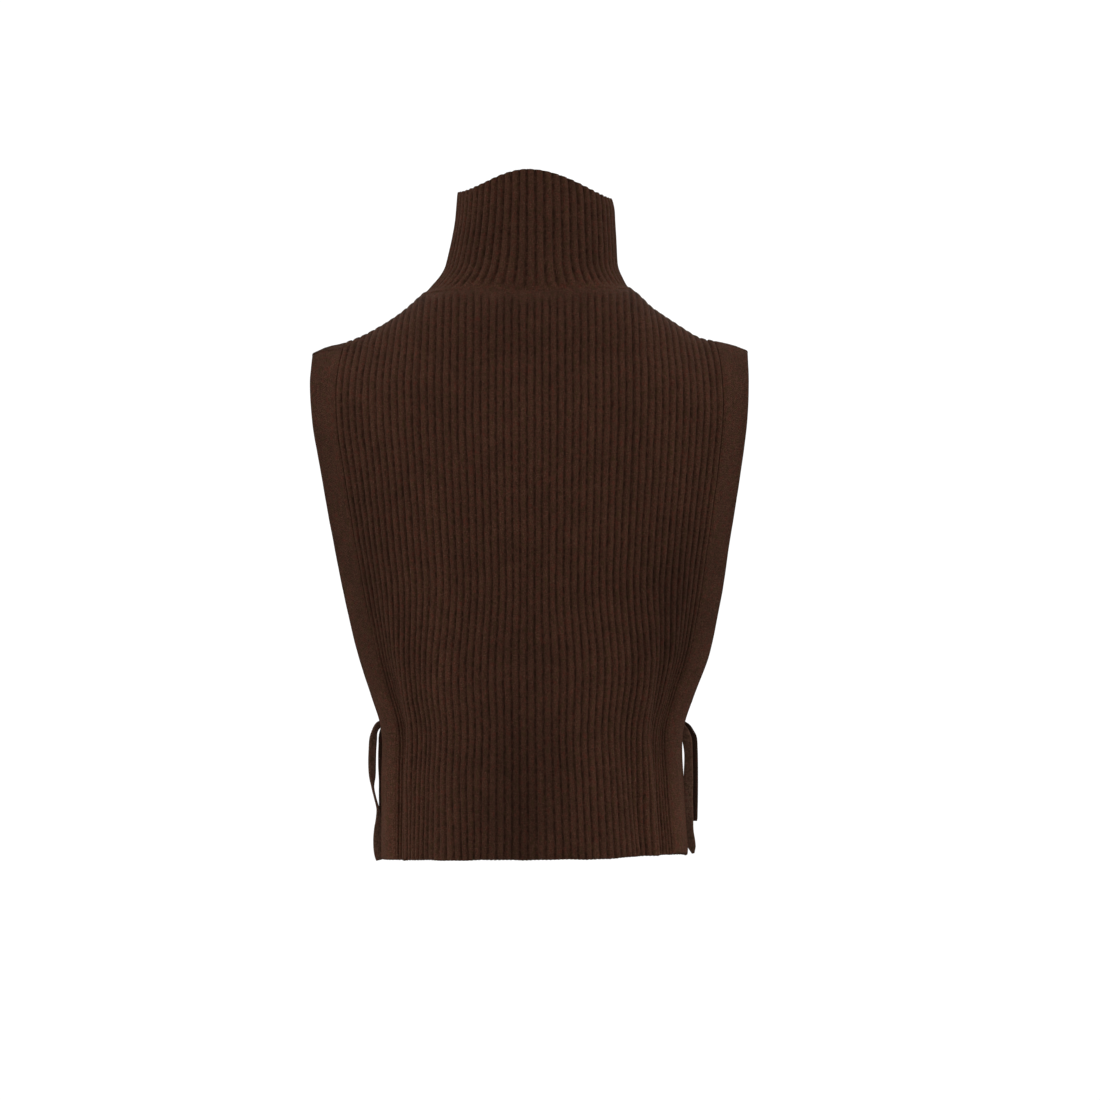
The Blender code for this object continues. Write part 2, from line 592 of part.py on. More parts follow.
def add_tie(name, stations, collection):
    """A flat strap swept along its route."""
    route = smooth_route(stations, TIE_STEP)
    places = route[:, :3]
    ahead = np.gradient(places, axis=0)
    ahead = ahead / np.linalg.norm(ahead, axis=1, keepdims=True)
    wide = route[:, 4:7]
    wide = wide - ahead * np.sum(wide * ahead, axis=1, keepdims=True)
    wide = wide / np.linalg.norm(wide, axis=1, keepdims=True)
    thick = np.cross(ahead, wide) * TIE_THICKNESS / 2
    wide = wide * route[:, 3:4] / 2
    corners = np.stack([places + wide + thick, places - wide + thick,
                        places - wide - thick, places + wide - thick], axis=1)
    count = len(places)
    faces = [[0, 3, 2, 1], [4 * count - 4, 4 * count - 3, 4 * count - 2, 4 * count - 1]]
    for section in range(count - 1):
        for corner in range(4):
            here = 4 * section + corner
            beside = 4 * section + (corner + 1) % 4
            faces.append([here, beside, beside + 4, here + 4])
    return add_object(name, corners.reshape(-1, 3).tolist(), faces, "tie_knit", collection)


def add_knot(name, knot, collection):
    """The turn of a strap that holds a pair of ties together."""
    bpy.ops.mesh.primitive_torus_add(
        major_radius=KNOT_RADIUS, minor_radius=KNOT_WRAP, major_segments=14, minor_segments=6)
    made = bpy.context.object
    made.name = name
    made.data.name = name
    for vertex in made.data.vertices:
        vertex.co.z *= KNOT_STRETCH
    made.location = knot
    made.data.materials.append(material("tie_knit"))
    for owner in list(made.users_collection):
        owner.objects.unlink(made)
    collection.objects.link(made)


# ---------------------------------------------------------------- build
def main():
    """Build the garment."""
    for old in list(bpy.data.objects):
        bpy.data.objects.remove(old, do_unlink=True)
    collection = bpy.data.collections.new(OBJECT_NAME)
    bpy.context.scene.collection.children.link(collection)
    for panel in ("back", "front"):
        add_panel(panel, collection)
        for side in (1, -1):
            add_band(panel, side, collection)
    add_collar(collection)
    for name, stations in TIES.items():
        add_tie(name, stations, collection)
    for name, knot in KNOTS.items():
        add_knot(name, knot, collection)


main()
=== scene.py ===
"""Sleeveless rib-knit pullover with a high collar, open banded sides and waist ties.

Metres, +Z up.  The garment's front faces -Y and the wearer's left is +X.  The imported
solids give every piece its place; real knitted cloth is hung on the same form here.
"""
import logging
from dataclasses import dataclass, field
from enum import Enum
from math import pi
from typing import NamedTuple

import bpy
import numpy as np
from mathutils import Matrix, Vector


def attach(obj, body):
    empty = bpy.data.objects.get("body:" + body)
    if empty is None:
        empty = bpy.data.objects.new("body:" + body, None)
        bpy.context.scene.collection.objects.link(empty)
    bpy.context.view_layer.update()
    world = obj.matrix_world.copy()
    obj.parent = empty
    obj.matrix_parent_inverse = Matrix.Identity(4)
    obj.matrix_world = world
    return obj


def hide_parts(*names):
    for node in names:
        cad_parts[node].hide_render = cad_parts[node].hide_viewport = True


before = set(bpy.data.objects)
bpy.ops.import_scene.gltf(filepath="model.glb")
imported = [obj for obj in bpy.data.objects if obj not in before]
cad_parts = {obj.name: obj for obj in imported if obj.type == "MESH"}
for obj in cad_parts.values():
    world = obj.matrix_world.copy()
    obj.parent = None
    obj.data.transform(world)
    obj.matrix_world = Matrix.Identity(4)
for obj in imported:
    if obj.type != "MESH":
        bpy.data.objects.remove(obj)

Array = np.ndarray
Feed = bpy.types.Node | bpy.types.NodeSocket     # what a node's input can take
BODY = "root"
KNIT_UV = "Knit"
MATH = "ShaderNodeMath"
RANGE = "ShaderNodeMapRange"
NOISE = "ShaderNodeTexNoise"
ATTRIBUTE = "GeometryNodeInputNamedAttribute"
EASED = {"interpolation_type": "SMOOTHSTEP"}
EDGE = 0.0022                    # how far inside its edge a cloth has its full thickness
PRESSED = 0.04                   # what a seam leaves of the ribs beside it
log = logging.getLogger("rib_pullover")


class Panel(Enum):
    """A wide panel of the body, named as in its solids."""

    BACK = "back"
    FRONT = "front"

    @property
    def seed(self) -> float:
        """The seed of its cloth's unevenness."""
        return 3.0 if self is Panel.BACK else 11.0


class Side(Enum):
    """A side of the wearer; the value is the sign of X there."""

    LEFT = 1
    RIGHT = -1

    @property
    def word(self) -> str:
        """The side's name as in the solids."""
        return self.name.lower()


class Pattern(Enum):
    """How the stitches of a knit lie."""

    RIB = "rib"
    PLAIN = "plain"
    YARN = "yarn"


BACK, FRONT = Panel


# ---------------------------------------------------------------- tables of the form
class Section(NamedTuple):
    """A level cut of the body: half widths, centre depths, turns at the sides in degrees."""

    height: float
    left: float
    right: float
    back: float
    front: float
    back_turn: float
    front_turn: float


class Shoulder(NamedTuple):
    """A place on the top line of the shoulders."""

    out: float
    left: float
    right: float


class Crown(NamedTuple):
    """How the ribs lean in over the shoulder, and how far behind it the seam lies."""

    across: float
    lean: float
    seam_left: float
    seam_right: float


class Hem(NamedTuple):
    """Height of the hem at a place across the panels."""

    across: float
    back: float
    front: float


class Fold(NamedTuple):
    """A soft fold that runs down a panel and grows between two heights."""

    panel: Panel
    across_top: float
    across_hem: float
    begins: float
    full: float
    width: float
    rise: float


class Drift(NamedTuple):
    """A place near the hem where the ribs wander sideways."""

    panel: Panel
    across: float
    begins: float
    width: float
    shift: float


class Fading(NamedTuple):
    """A soft patch of painted light or painted shade on the wool of a panel."""

    panel: Panel
    across: float
    height: float
    width: float
    length: float
    change: float


class Tube(NamedTuple):
    """A ring of the collar, from its seam at 0 to its rim at 1."""

    up: float
    left: float
    right: float
    middle: float
    depth: float


class Station(NamedTuple):
    """A place on the middle of a strap, its width there and the way the width runs."""

    x: float
    y: float
    z: float
    width: float
    wide_x: float
    wide_y: float
    wide_z: float


SECTIONS = (
    Section(-0.070, 0.2180, 0.2163, 0.092, 0.092, 38, 38),
    Section(-0.100, 0.2203, 0.2170, 0.100, 0.104, 38, 40),
    Section(-0.140, 0.2172, 0.2150, 0.106, 0.116, 40, 44),
    Section(-0.200, 0.2068, 0.2068, 0.108, 0.124, 45, 50),
    Section(-0.260, 0.1962, 0.1975, 0.104, 0.122, 50, 55),
    Section(-0.320, 0.1838, 0.1880, 0.099, 0.117, 55, 60),
    Section(-0.378, 0.1697, 0.1748, 0.098, 0.113, 61, 65),
    Section(-0.412, 0.1586, 0.1618, 0.100, 0.114, 66, 68),
    Section(-0.438, 0.1500, 0.1527, 0.102, 0.115, 70, 72),
    Section(-0.500, 0.1482, 0.1512, 0.105, 0.116, 75, 77),
    Section(-0.577, 0.1478, 0.1558, 0.110, 0.119, 78, 80),
)
SHOULDERS = (
    Shoulder(0.000, 0.0160, 0.0160),
    Shoulder(0.050, 0.0135, 0.0135),
    Shoulder(0.080, 0.0045, 0.0040),
    Shoulder(0.095, -0.0030, -0.0040),
    Shoulder(0.106, -0.0112, -0.0125),
    Shoulder(0.117, -0.0215, -0.0240),
    Shoulder(0.127, -0.0300, -0.0310),
    Shoulder(0.144, -0.0415, -0.0425),
    Shoulder(0.165, -0.0532, -0.0550),
    Shoulder(0.190, -0.0622, -0.0605),
    Shoulder(0.203, -0.0650, -0.0637),
    Shoulder(0.219, -0.0730, -0.0710),
)
CROWNS = (
    Crown(0.00, 0.000, 0.009, 0.009),
    Crown(0.45, 0.006, 0.009, 0.009),
    Crown(0.65, 0.013, 0.010, 0.010),
    Crown(0.80, 0.012, 0.026, 0.015),
    Crown(0.90, 0.008, 0.034, 0.020),
    Crown(1.00, 0.000, 0.016, 0.014),
)
HEMS = (
    Hem(-1.0, -0.5692, -0.5720),
    Hem(-0.7, -0.5705, -0.5730),
    Hem(-0.3, -0.5733, -0.5745),
    Hem(0.3, -0.5744, -0.5760),
    Hem(1.0, -0.5762, -0.5765),
)
FOLDS = (
    Fold(BACK, 0.86, 0.80, -0.140, -0.480, 0.150, -0.0080),
    Fold(BACK, -0.86, -0.80, -0.180, -0.460, 0.150, -0.0085),
    Fold(BACK, 0.02, 0.03, -0.380, -0.560, 0.200, -0.0100),
    Fold(BACK, -0.52, -0.60, -0.420, -0.560, 0.110, -0.0050),
    Fold(BACK, 0.45, 0.36, -0.340, -0.540, 0.240, 0.0040),
    Fold(BACK, -0.30, -0.34, -0.360, -0.540, 0.230, 0.0045),
    Fold(FRONT, 0.84, 0.79, -0.150, -0.470, 0.150, -0.0085),
    Fold(FRONT, -0.85, -0.81, -0.170, -0.480, 0.150, -0.0075),
    Fold(FRONT, -0.06, -0.10, -0.330, -0.550, 0.210, -0.0090),
    Fold(FRONT, 0.50, 0.55, -0.400, -0.560, 0.130, -0.0060),
    Fold(FRONT, 0.30, 0.26, -0.330, -0.550, 0.220, 0.0045),
)
DRIFTS = (
    Drift(BACK, 0.33, -0.480, 0.16, -0.024),
    Drift(BACK, -0.10, -0.330, 0.18, -0.022),
    Drift(FRONT, -0.25, -0.470, 0.18, 0.026),
)
CREASES = (
    Fold(BACK, 0.690, 0.745, -0.360, -0.480, 0.070, 0.0038),
    Fold(BACK, 0.800, 0.835, -0.360, -0.480, 0.080, -0.0024),
    Fold(BACK, -0.640, -0.745, -0.240, -0.400, 0.075, -0.0034),
    Fold(BACK, -0.560, -0.665, -0.260, -0.440, 0.085, 0.0024),
    Fold(BACK, 0.500, 0.460, -0.200, -0.420, 0.130, 0.0022),
    Fold(BACK, -0.170, -0.150, -0.300, -0.460, 0.100, -0.0026),
    Fold(FRONT, 0.740, 0.730, -0.250, -0.430, 0.090, -0.0030),
    Fold(FRONT, -0.790, -0.780, -0.330, -0.480, 0.080, 0.0030),
    Fold(FRONT, -0.350, -0.330, -0.300, -0.470, 0.110, -0.0024),
)
# Painted light and shade: patches that lighten or darken the wool where the hanging cloth is lit or
# shaded.
PAINTED_SHADING = (
    Fading(BACK, 0.05, -0.530, 0.42, 0.300, -0.26),
    Fading(BACK, 0.90, -0.550, 0.46, 0.150, 0.30),
    Fading(BACK, -0.85, -0.550, 0.44, 0.130, 0.26),
    Fading(BACK, 1.00, -0.150, 0.16, 0.220, -0.14),
    Fading(BACK, -1.00, -0.200, 0.16, 0.260, -0.14),
    Fading(BACK, -0.72, -0.330, 0.34, 0.150, -0.32),
    Fading(BACK, 0.85, -0.290, 0.30, 0.150, -0.14),
    Fading(BACK, 0.45, -0.310, 0.14, 0.220, 0.16),
    Fading(BACK, 0.00, -0.030, 0.85, 0.120, -0.18),
    Fading(BACK, 0.91, -0.0635, 0.13, 0.0090, -0.50),
    Fading(BACK, 0.85, -0.500, 0.07, 0.140, 0.20),
    Fading(FRONT, 0.97, -0.066, 0.14, 0.030, -0.35),
    Fading(FRONT, -0.06, -0.540, 0.40, 0.280, -0.22),
    Fading(FRONT, 0.85, -0.550, 0.40, 0.160, 0.18),
    Fading(FRONT, -0.85, -0.550, 0.40, 0.150, 0.18),
    Fading(FRONT, 0.74, -0.320, 0.32, 0.150, -0.24),
    Fading(FRONT, -0.78, -0.300, 0.30, 0.150, -0.20),
    Fading(FRONT, 0.00, -0.050, 0.85, 0.130, -0.16),
)
TUBES = (
    Tube(0.00, 0.0905, 0.0872, -0.0115, 0.0755),
    Tube(0.25, 0.0842, 0.0850, -0.0110, 0.0735),
    Tube(0.50, 0.0783, 0.0838, -0.0105, 0.0720),
    Tube(0.75, 0.0738, 0.0824, -0.0100, 0.0715),
    Tube(0.93, 0.0723, 0.0810, -0.0100, 0.0720),
    Tube(1.00, 0.0718, 0.0792, -0.0100, 0.0725),
)


# ---------------------------------------------------------------- curves
def read_table(rows: tuple, column: str, at: Array) -> Array:
    """Read one column on a smooth curve through a table's rows.

    Args:
        rows: the table, whose first column says where each row lies.
        column: the column to read.
        at: where to read it.

    Returns:
        The values there.
    """
    order = sorted(rows)
    knots = np.array([row[0] for row in order])
    values = np.array([getattr(row, column) for row in order], dtype=float)
    at = np.clip(at, knots[0], knots[-1])
    slopes = np.gradient(values, knots)
    index = np.clip(np.searchsorted(knots, at) - 1, 0, len(knots) - 2)
    span = knots[index + 1] - knots[index]
    part = (at - knots[index]) / span
    start = (1 + 2 * part) * (1 - part) ** 2 * values[index]
    end = part ** 2 * (3 - 2 * part) * values[index + 1]
    leave = part * (1 - part) ** 2 * span * slopes[index]
    arrive = part ** 2 * (part - 1) * span * slopes[index + 1]
    return start + end + leave + arrive


def read_side(rows: tuple, at: Array, across: Array, kind: str = "") -> Array:
    """Read a table's left or right column, whichever side of the wearer a place lies on.

    Args:
        rows: the table.
        at: where to read it.
        across: places across the wearer, above 0 on the left.
        kind: what the names of both columns start with.

    Returns:
        The values there.
    """
    left, right = (read_table(rows, kind + side.word, at) for side in Side)
    return np.where(across >= 0, left, right)


def smooth_step(value: Array) -> Array:
    """Ease from 0 to 1."""
    value = np.clip(value, 0.0, 1.0)
    return value * value * (3 - 2 * value)


def hill(distance: Array, reach: float) -> Array:
    """Fall smoothly from 1 at no distance to 0 at its reach."""
    return 0.5 + 0.5 * np.cos(pi * np.clip(np.abs(distance) / reach, 0.0, 1.0))


def stagger(places: Array) -> Array:
    """A fixed number between 0.7 and 1.3 for each rib, with no order in it."""
    return 0.7 + 0.6 * np.modf(np.abs(np.sin(np.round(places) * 12.9898 + 3.1)) * 437.585)[0]


def unit(vectors: Array) -> Array:
    """The same directions at length 1."""
    return vectors / np.linalg.norm(vectors, axis=-1, keepdims=True)


# ---------------------------------------------------------------- form of the cloth
@dataclass(frozen=True)
class BodyForm:
    """The hollow form that the body's cloth keeps when it is worn.

    Its methods take places as two numbers: across, from -1 at the wearer's right edge of a
    panel to 1 at its left edge, and down, the distance along the cloth from the shoulder line.
    """

    rounding: float = 1.3            # how late a section turns towards its edge
    roll_drop: float = 0.090         # height of the shoulder's roll
    roll_arc: float = 0.145          # the same stretch measured along the cloth
    flat_width: float = 0.470        # a panel and its two bands, laid flat
    flat_length: float = 0.620       # shoulder seam to hem, laid flat
    band_start: float = 0.872        # where a side band begins, as a part of the half width
    neck_left: float = 0.490         # corners of the neck opening, as parts of the half width
    neck_right: float = 0.452
    back_neck_drop: float = 0.071    # how far down the cloth the neck opening reaches
    front_neck_drop: float = 0.114
    hem_ripple: float = 0.0003       # how unevenly the hem hangs
    slow_ripple: float = 17.0        # radians that its waves turn in a half width
    quick_ripple: float = 43.0
    spread: float = 0.23             # how far the ribs spread near the hem
    spread_begins: float = -0.290    # height at which they begin to
    spread_height: float = 0.125     # how much lower they are fully spread
    drifts_full: float = -0.590      # height at which they have wandered as far as they do
    nearby: float = 0.0015           # how far apart the places lie that give a slope

    def bend(self, turn: Array, across: Array) -> tuple[Array, Array]:
        """Bend a unit strip of cloth steadily towards its edge.

        Args:
            turn: the angle reached at the edge.
            across: places on the strip.

        Returns:
            How far each place reaches out and drops back.
        """
        at, weight = np.polynomial.legendre.leggauss(8)
        part = np.abs(across)[..., None] * (at + 1) / 2
        angle = np.asarray(turn)[..., None] * part ** self.rounding
        reach = np.abs(across) * np.sum(weight / 2 * np.cos(angle), axis=-1)
        drop = np.abs(across) * np.sum(weight / 2 * np.sin(angle), axis=-1)
        return reach, drop

    def fold_rise(self, panel: Panel, across: Array, height: Array) -> Array:
        """Add up the folds.

        Args:
            panel: the panel.
            across: places across it.
            height: their heights.

        Returns:
            How far the folds lift the cloth off its plain form.
        """
        rise = np.zeros_like(across)
        for fold in FOLDS + CREASES:
            if fold.panel is panel:
                below = fold.begins - height
                grown = smooth_step(below / (fold.begins - fold.full))
                travel = smooth_step(below / (fold.begins - SECTIONS[-1].height))
                middle = fold.across_top + (fold.across_hem - fold.across_top) * travel
                rise += fold.rise * grown * hill(across - middle, fold.width)
        return rise

    def hang(self, panel: Panel, across: Array, down: Array) -> Array:
        """Find points on the middle of a panel's cloth.

        Args:
            panel: the panel.
            across: places across it.
            down: how far down they lie.

        Returns:
            The points.
        """
        sign = 1.0 if panel is BACK else -1.0
        side = np.where(across >= 0, 1.0, -1.0)
        edge = np.ones_like(across)
        rolled = np.clip(down / self.roll_arc, 0.0, 1.0)
        roll = rolled * pi / 2
        crown_turn = np.radians(SECTIONS[0].back_turn)
        crown_reach = self.bend(crown_turn, across)[0] / self.bend(crown_turn, edge)[0]
        lean = read_table(CROWNS, "lean", np.abs(across))
        crown_out = read_side(SECTIONS, SECTIONS[0].height, across) * crown_reach - lean
        top = read_side(SHOULDERS, crown_out, across)
        height = top - self.roll_drop * (1 - np.cos(roll)) - np.maximum(down - self.roll_arc, 0.0)

        turn = np.radians(read_table(SECTIONS, panel.value + "_turn", height))
        reach, drop = self.bend(turn, across)
        cloth = read_side(SECTIONS, height, across) / self.bend(turn, edge)[0]
        depth = read_table(SECTIONS, panel.value, height)
        out = cloth * reach - lean * (1 - rolled) ** 2
        back = (depth - cloth * drop) * np.sin(roll)
        angle = turn * np.abs(across) ** self.rounding
        rise = self.fold_rise(panel, across, height)
        out = out + rise * np.sin(angle)
        back = back + rise * np.cos(angle)
        return np.stack([side * out, sign * back, height], axis=-1)

    def points(self, panel: Panel, across: Array, down: Array) -> Array:
        """Find points on a panel that may reach over the shoulder line.

        Args:
            panel: the panel.
            across: places across it.
            down: how far down they lie; below 0, a front place is on the back of the form.

        Returns:
            The points.
        """
        if panel is BACK:
            return self.hang(BACK, across, down)
        behind = self.hang(BACK, across, np.abs(down))
        return np.where((down < 0)[..., None], behind, self.hang(FRONT, across, down))

    def normals(self, panel: Panel, across: Array, down: Array) -> Array:
        """Find the outward directions at places on a panel.

        Args:
            panel: the panel.
            across: places across it.
            down: how far down they lie.

        Returns:
            The directions.
        """
        step = self.nearby
        sideways = self.points(panel, across + step, down) - self.points(panel, across - step, down)
        along = self.points(panel, across, down + step) - self.points(panel, across, down - step)
        return unit(np.cross(sideways, along)) * (1 if panel is BACK else -1)

    def neck_dip(self, across: Array) -> Array:
        """How deep the neck opening is, from 0 at its corners to 1 in its middle."""
        corner = np.where(across >= 0, self.neck_left, self.neck_right)
        return np.sqrt(1 - np.clip(across / corner, -1.0, 1.0) ** 2)

    def neck_drop(self, panel: Panel) -> float:
        """How far down a panel the middle of its neck opening lies."""
        return self.back_neck_drop if panel is BACK else self.front_neck_drop

    def top_line(self, panel: Panel, across: Array) -> Array:
        """Find a panel's top edge, at the shoulder seam or at the neck seam.

        Args:
            panel: the panel.
            across: places across it.

        Returns:
            How far down the edge lies.
        """
        seam = read_side(CROWNS, np.abs(across), across, "seam_")
        if panel is FRONT:
            seam = -seam
        return seam + (self.neck_drop(panel) - seam) * self.neck_dip(across)

    def hem_line(self, panel: Panel, across: Array) -> Array:
        """Find a panel's hem.

        Args:
            panel: the panel.
            across: places across it.

        Returns:
            How far down the hem lies.
        """
        crown = self.hang(panel, across, np.zeros_like(across))[..., 2]
        waves = np.sin(self.slow_ripple * across + 1.1) + np.sin(self.quick_ripple * across) / 2
        return (crown - read_table(HEMS, panel.value, across) - self.roll_drop
                + self.roll_arc + self.hem_ripple * waves)

    def faded(self, panel: Panel, across: Array, height: Array) -> Array:
        """Find the painted light and shade on the wool.

        Args:
            panel: the panel.
            across: places across it.
            height: their heights.

        Returns:
            The tone there, 1 where nothing is painted.
        """
        tone = np.ones_like(across)
        for patch in PAINTED_SHADING:
            if patch.panel is panel:
                spot = hill(across - patch.across, patch.width)
                tone = tone + patch.change * spot * hill(height - patch.height, patch.length)
        return tone

    def drifted(self, panel: Panel, across: Array, height: Array) -> Array:
        """Move places across, so that the ribs spread and wander near the hem.

        Args:
            panel: the panel.
            across: places across it.
            height: their heights.

        Returns:
            The moved places.
        """
        low = smooth_step((self.spread_begins - height) / self.spread_height)
        moved = across * (1 + self.spread * low * (1 - (across / self.band_start) ** 2))
        for drift in DRIFTS:
            if drift.panel is panel:
                grown = smooth_step((drift.begins - height) / (drift.begins - self.drifts_full))
                moved = moved + drift.shift * grown * hill(across - drift.across, drift.width)
        return moved


@dataclass(frozen=True)
class CollarForm:
    """The tube of the high collar, spread at its foot to meet the neck seam.

    Its methods take places as two numbers: angle, from 0 at the back to a right angle at
    the wearer's left, and up, from 0 at the seam to 1 at the rim.
    """

    body: BodyForm
    flare: float = 0.30              # part of the height in which it spreads to the seam
    rim_left: float = 0.0900         # height of the rim above each side of the neck
    rim_right: float = 0.0835
    rim_slope: float = 0.0245        # how far the rim rises to the back and falls to the front
    rim_crest_left: float = 3.5      # how late it rises to the back from each side
    rim_crest_right: float = 2.9
    rim_dip: float = 1.4             # how late it falls to the front
    flat_round: float = 0.500        # its cut: all the way round, and its height
    flat_height: float = 0.115
    turned_foot: float = 0.05        # part of the height in which it turns into the panels
    nearby: float = 0.002

    def seam(self, angle: Array) -> tuple[Array, Array]:
        """Find the neck seam.

        Args:
            angle: places round the neck.

        Returns:
            Points and outward directions.
        """
        swing = np.sin(angle)
        across = np.where(swing >= 0, swing * self.body.neck_left, swing * self.body.neck_right)
        behind = (np.cos(angle) >= 0)[..., None]
        downs = {panel: self.body.top_line(panel, across) for panel in Panel}
        point = np.where(behind, *(self.body.points(p, across, d) for p, d in downs.items()))
        normal = np.where(behind, *(self.body.normals(p, across, d) for p, d in downs.items()))
        return point, normal

    def tube(self, angle: Array, up: Array) -> Array:
        """Find places on the plain tube, without its spread at the seam.

        Args:
            angle: places round it.
            up: how far up they lie.

        Returns:
            Their level places, X and Y.
        """
        swing = np.sin(angle)
        side = read_side(TUBES, up, swing)
        middle, depth = (read_table(TUBES, word, up) for word in ("middle", "depth"))
        return np.stack([side * swing, middle + depth * np.cos(angle)], axis=-1)

    def rim_height(self, angle: Array) -> Array:
        """Find the rim.

        Args:
            angle: places round it.

        Returns:
            Its heights.
        """
        swing, back = np.sin(angle), np.cos(angle)
        side = (self.rim_left + self.rim_right) / 2 + (self.rim_left - self.rim_right) / 2 * swing
        crest = np.where(swing >= 0, self.rim_crest_left, self.rim_crest_right)
        rise = np.clip(back, 0.0, 1.0) ** crest
        fall = np.clip(-back, 0.0, 1.0) ** self.rim_dip
        return side + self.rim_slope * (rise - fall)

    def points(self, angle: Array, up: Array) -> Array:
        """Find points on the middle of the collar's cloth.

        Args:
            angle: places round it.
            up: how far up they lie.

        Returns:
            The points.
        """
        seam, _ = self.seam(angle)
        spread = np.clip(1 - up / self.flare, 0.0, 1.0) ** 2
        root = self.tube(angle, np.zeros_like(up))
        flat = self.tube(angle, up) + (seam[..., :2] - root) * spread[..., None]
        height = seam[..., 2] + (self.rim_height(angle) - seam[..., 2]) * up
        return np.concatenate([flat, height[..., None]], axis=-1)

    def normals(self, angle: Array, up: Array) -> Array:
        """Find the outward directions; they turn into the panels' own at the seam.

        Args:
            angle: places round the collar.
            up: how far up they lie.

        Returns:
            The directions.
        """
        step = self.nearby
        around = self.points(angle + step, up) - self.points(angle - step, up)
        high, low = np.clip(up + step, 0.0, 1.0), np.clip(up - step, 0.0, 1.0)
        normal = unit(np.cross(self.points(angle, high) - self.points(angle, low), around))
        near = smooth_step(1 - up / self.turned_foot)[..., None]
        return unit(normal * (1 - near) + self.seam(angle)[1] * near)


# ---------------------------------------------------------------- nodes and meshes
def put(tree: bpy.types.NodeTree, kind: str, *inputs: object,
        **settings: object) -> bpy.types.Node:
    """Add a node with its settings and links.

    Args:
        tree: the node tree.
        kind: the node's type.
        inputs: what its inputs take, in order, or all of them in one dict by name or number.
            A node given here stands for its first output in use.
        settings: the node's own properties.

    Returns:
        The node.
    """
    made = tree.nodes.new(kind)
    for name, value in settings.items():
        setattr(made, name, value)
    given = inputs[0] if inputs and isinstance(inputs[0], dict) else dict(enumerate(inputs))
    for key, value in given.items():
        if isinstance(value, bpy.types.Node):
            value = next(socket for socket in value.outputs if socket.enabled)
        if isinstance(value, bpy.types.NodeSocket):
            tree.links.new(value, made.inputs[key])
        else:
            made.inputs[key].default_value = value
    return made


def colour(code: str) -> tuple[float, float, float, float]:
    """Turn a colour into a linear one.

    Args:
        code: its sRGB hex value.

    Returns:
        Red, green, blue and 1.
    """
    parts = [int(code[i:i + 2], 16) / 255 for i in (1, 3, 5)]
    linear = [p / 12.92 if p <= 0.04045 else ((p + 0.055) / 1.055) ** 2.4 for p in parts]
    return (*linear, 1.0)


def new_object(name: str, data: bpy.types.ID) -> bpy.types.Object:
    """Link a mesh, a lamp or a camera into the scene.

    Args:
        name: the object's name.
        data: what it holds.

    Returns:
        The object, at the origin.
    """
    made = bpy.data.objects.new(name, data)
    bpy.context.scene.collection.objects.link(made)
    return made


def settle(raw: bpy.types.Object, name: str) -> bpy.types.Object:
    """Turn an object and its modifiers into a plain mesh.

    Args:
        raw: the object with its node modifiers; it is removed.
        name: the plain piece's name.

    Returns:
        The plain piece.
    """
    bpy.context.view_layer.update()
    mesh = bpy.data.meshes.new_from_object(raw.evaluated_get(bpy.context.evaluated_depsgraph_get()))
    source = raw.data
    bpy.data.objects.remove(raw)
    bpy.data.meshes.remove(source)
    mesh.name = name
    return new_object(name, mesh)


def report(piece: bpy.types.Object) -> None:
    """Log a finished piece and how fine it is."""
    piece.data.calc_loop_triangles()
    log.info("%s: %d triangles", piece.name, len(piece.data.loop_triangles))


def hand_in(piece: bpy.types.Object, node: str) -> bpy.types.Object:
    """Let a finished piece stand for its solid.

    Args:
        piece: the piece.
        node: the solid's node.

    Returns:
        The same piece.
    """
    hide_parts(node)
    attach(piece, BODY)
    report(piece)
    return piece


@dataclass
class ClothGrid:
    """A smooth sheet of places on the middle of a cloth, row by row from one edge."""

    points: Array                    # rows x columns x 3
    normals: Array
    ribs: Array                      # which rib a place lies on, whole numbers in the grooves
    courses: Array                   # distance along the wales
    relief: Array                    # how strongly the ribs stand out, 0 to 1
    plump: Array                     # thickness of the cloth, as a part of its full one
    faded: Array                     # painted light and shade on the wool, about 1
    closed: bool = False             # whether the columns go round and meet

    def flat_mesh(self, name: str) -> bpy.types.Object:
        """Make the sheet, with what its nodes and its finish read.

        Args:
            name: the object's name.

        Returns:
            The open sheet.
        """
        rows, columns = self.ribs.shape
        last = columns if self.closed else columns - 1
        row, column = np.meshgrid(np.arange(rows - 1), np.arange(last), indexing="ij")
        beside = (column + 1) % columns
        corners = ((row, column), (row + 1, column), (row + 1, beside), (row, beside))
        faces = np.stack([up * columns + out for up, out in corners], axis=-1)
        wide, tall = (np.stack([values[corner] for corner in corners], axis=-1)
                      for values in (self.ribs, self.courses))
        wrapped = (beside < column)[..., None] & np.array([False, False, True, True])
        wide = np.where(wrapped, self.ribs[0, -1] + self.ribs[0, 1] - self.ribs[0, 0], wide)
        corner = np.cross(self.points[1, 0] - self.points[0, 0],
                          self.points[0, 1] - self.points[0, 0])
        turn = 1 if np.dot(corner, self.normals[0, 0]) > 0 else -1
        mesh = bpy.data.meshes.new(name)
        mesh.from_pydata(self.points.reshape(-1, 3).tolist(), [],
                         faces.reshape(-1, 4)[:, ::turn].tolist())
        uv = np.stack([wide, tall], axis=-1).reshape(-1, 4, 2)[:, ::turn]
        mesh.uv_layers.new(name=KNIT_UV).data.foreach_set("uv", uv.astype(np.float32).ravel())
        for word in ("ribs", "relief", "plump", "faded"):
            made = mesh.attributes.new(word, "FLOAT", "POINT")
            made.data.foreach_set("value", getattr(self, word).astype(np.float32).ravel())
        out = mesh.attributes.new("out", "FLOAT_VECTOR", "POINT")
        out.data.foreach_set("vector", self.normals.astype(np.float32).ravel())
        return new_object(name, mesh)


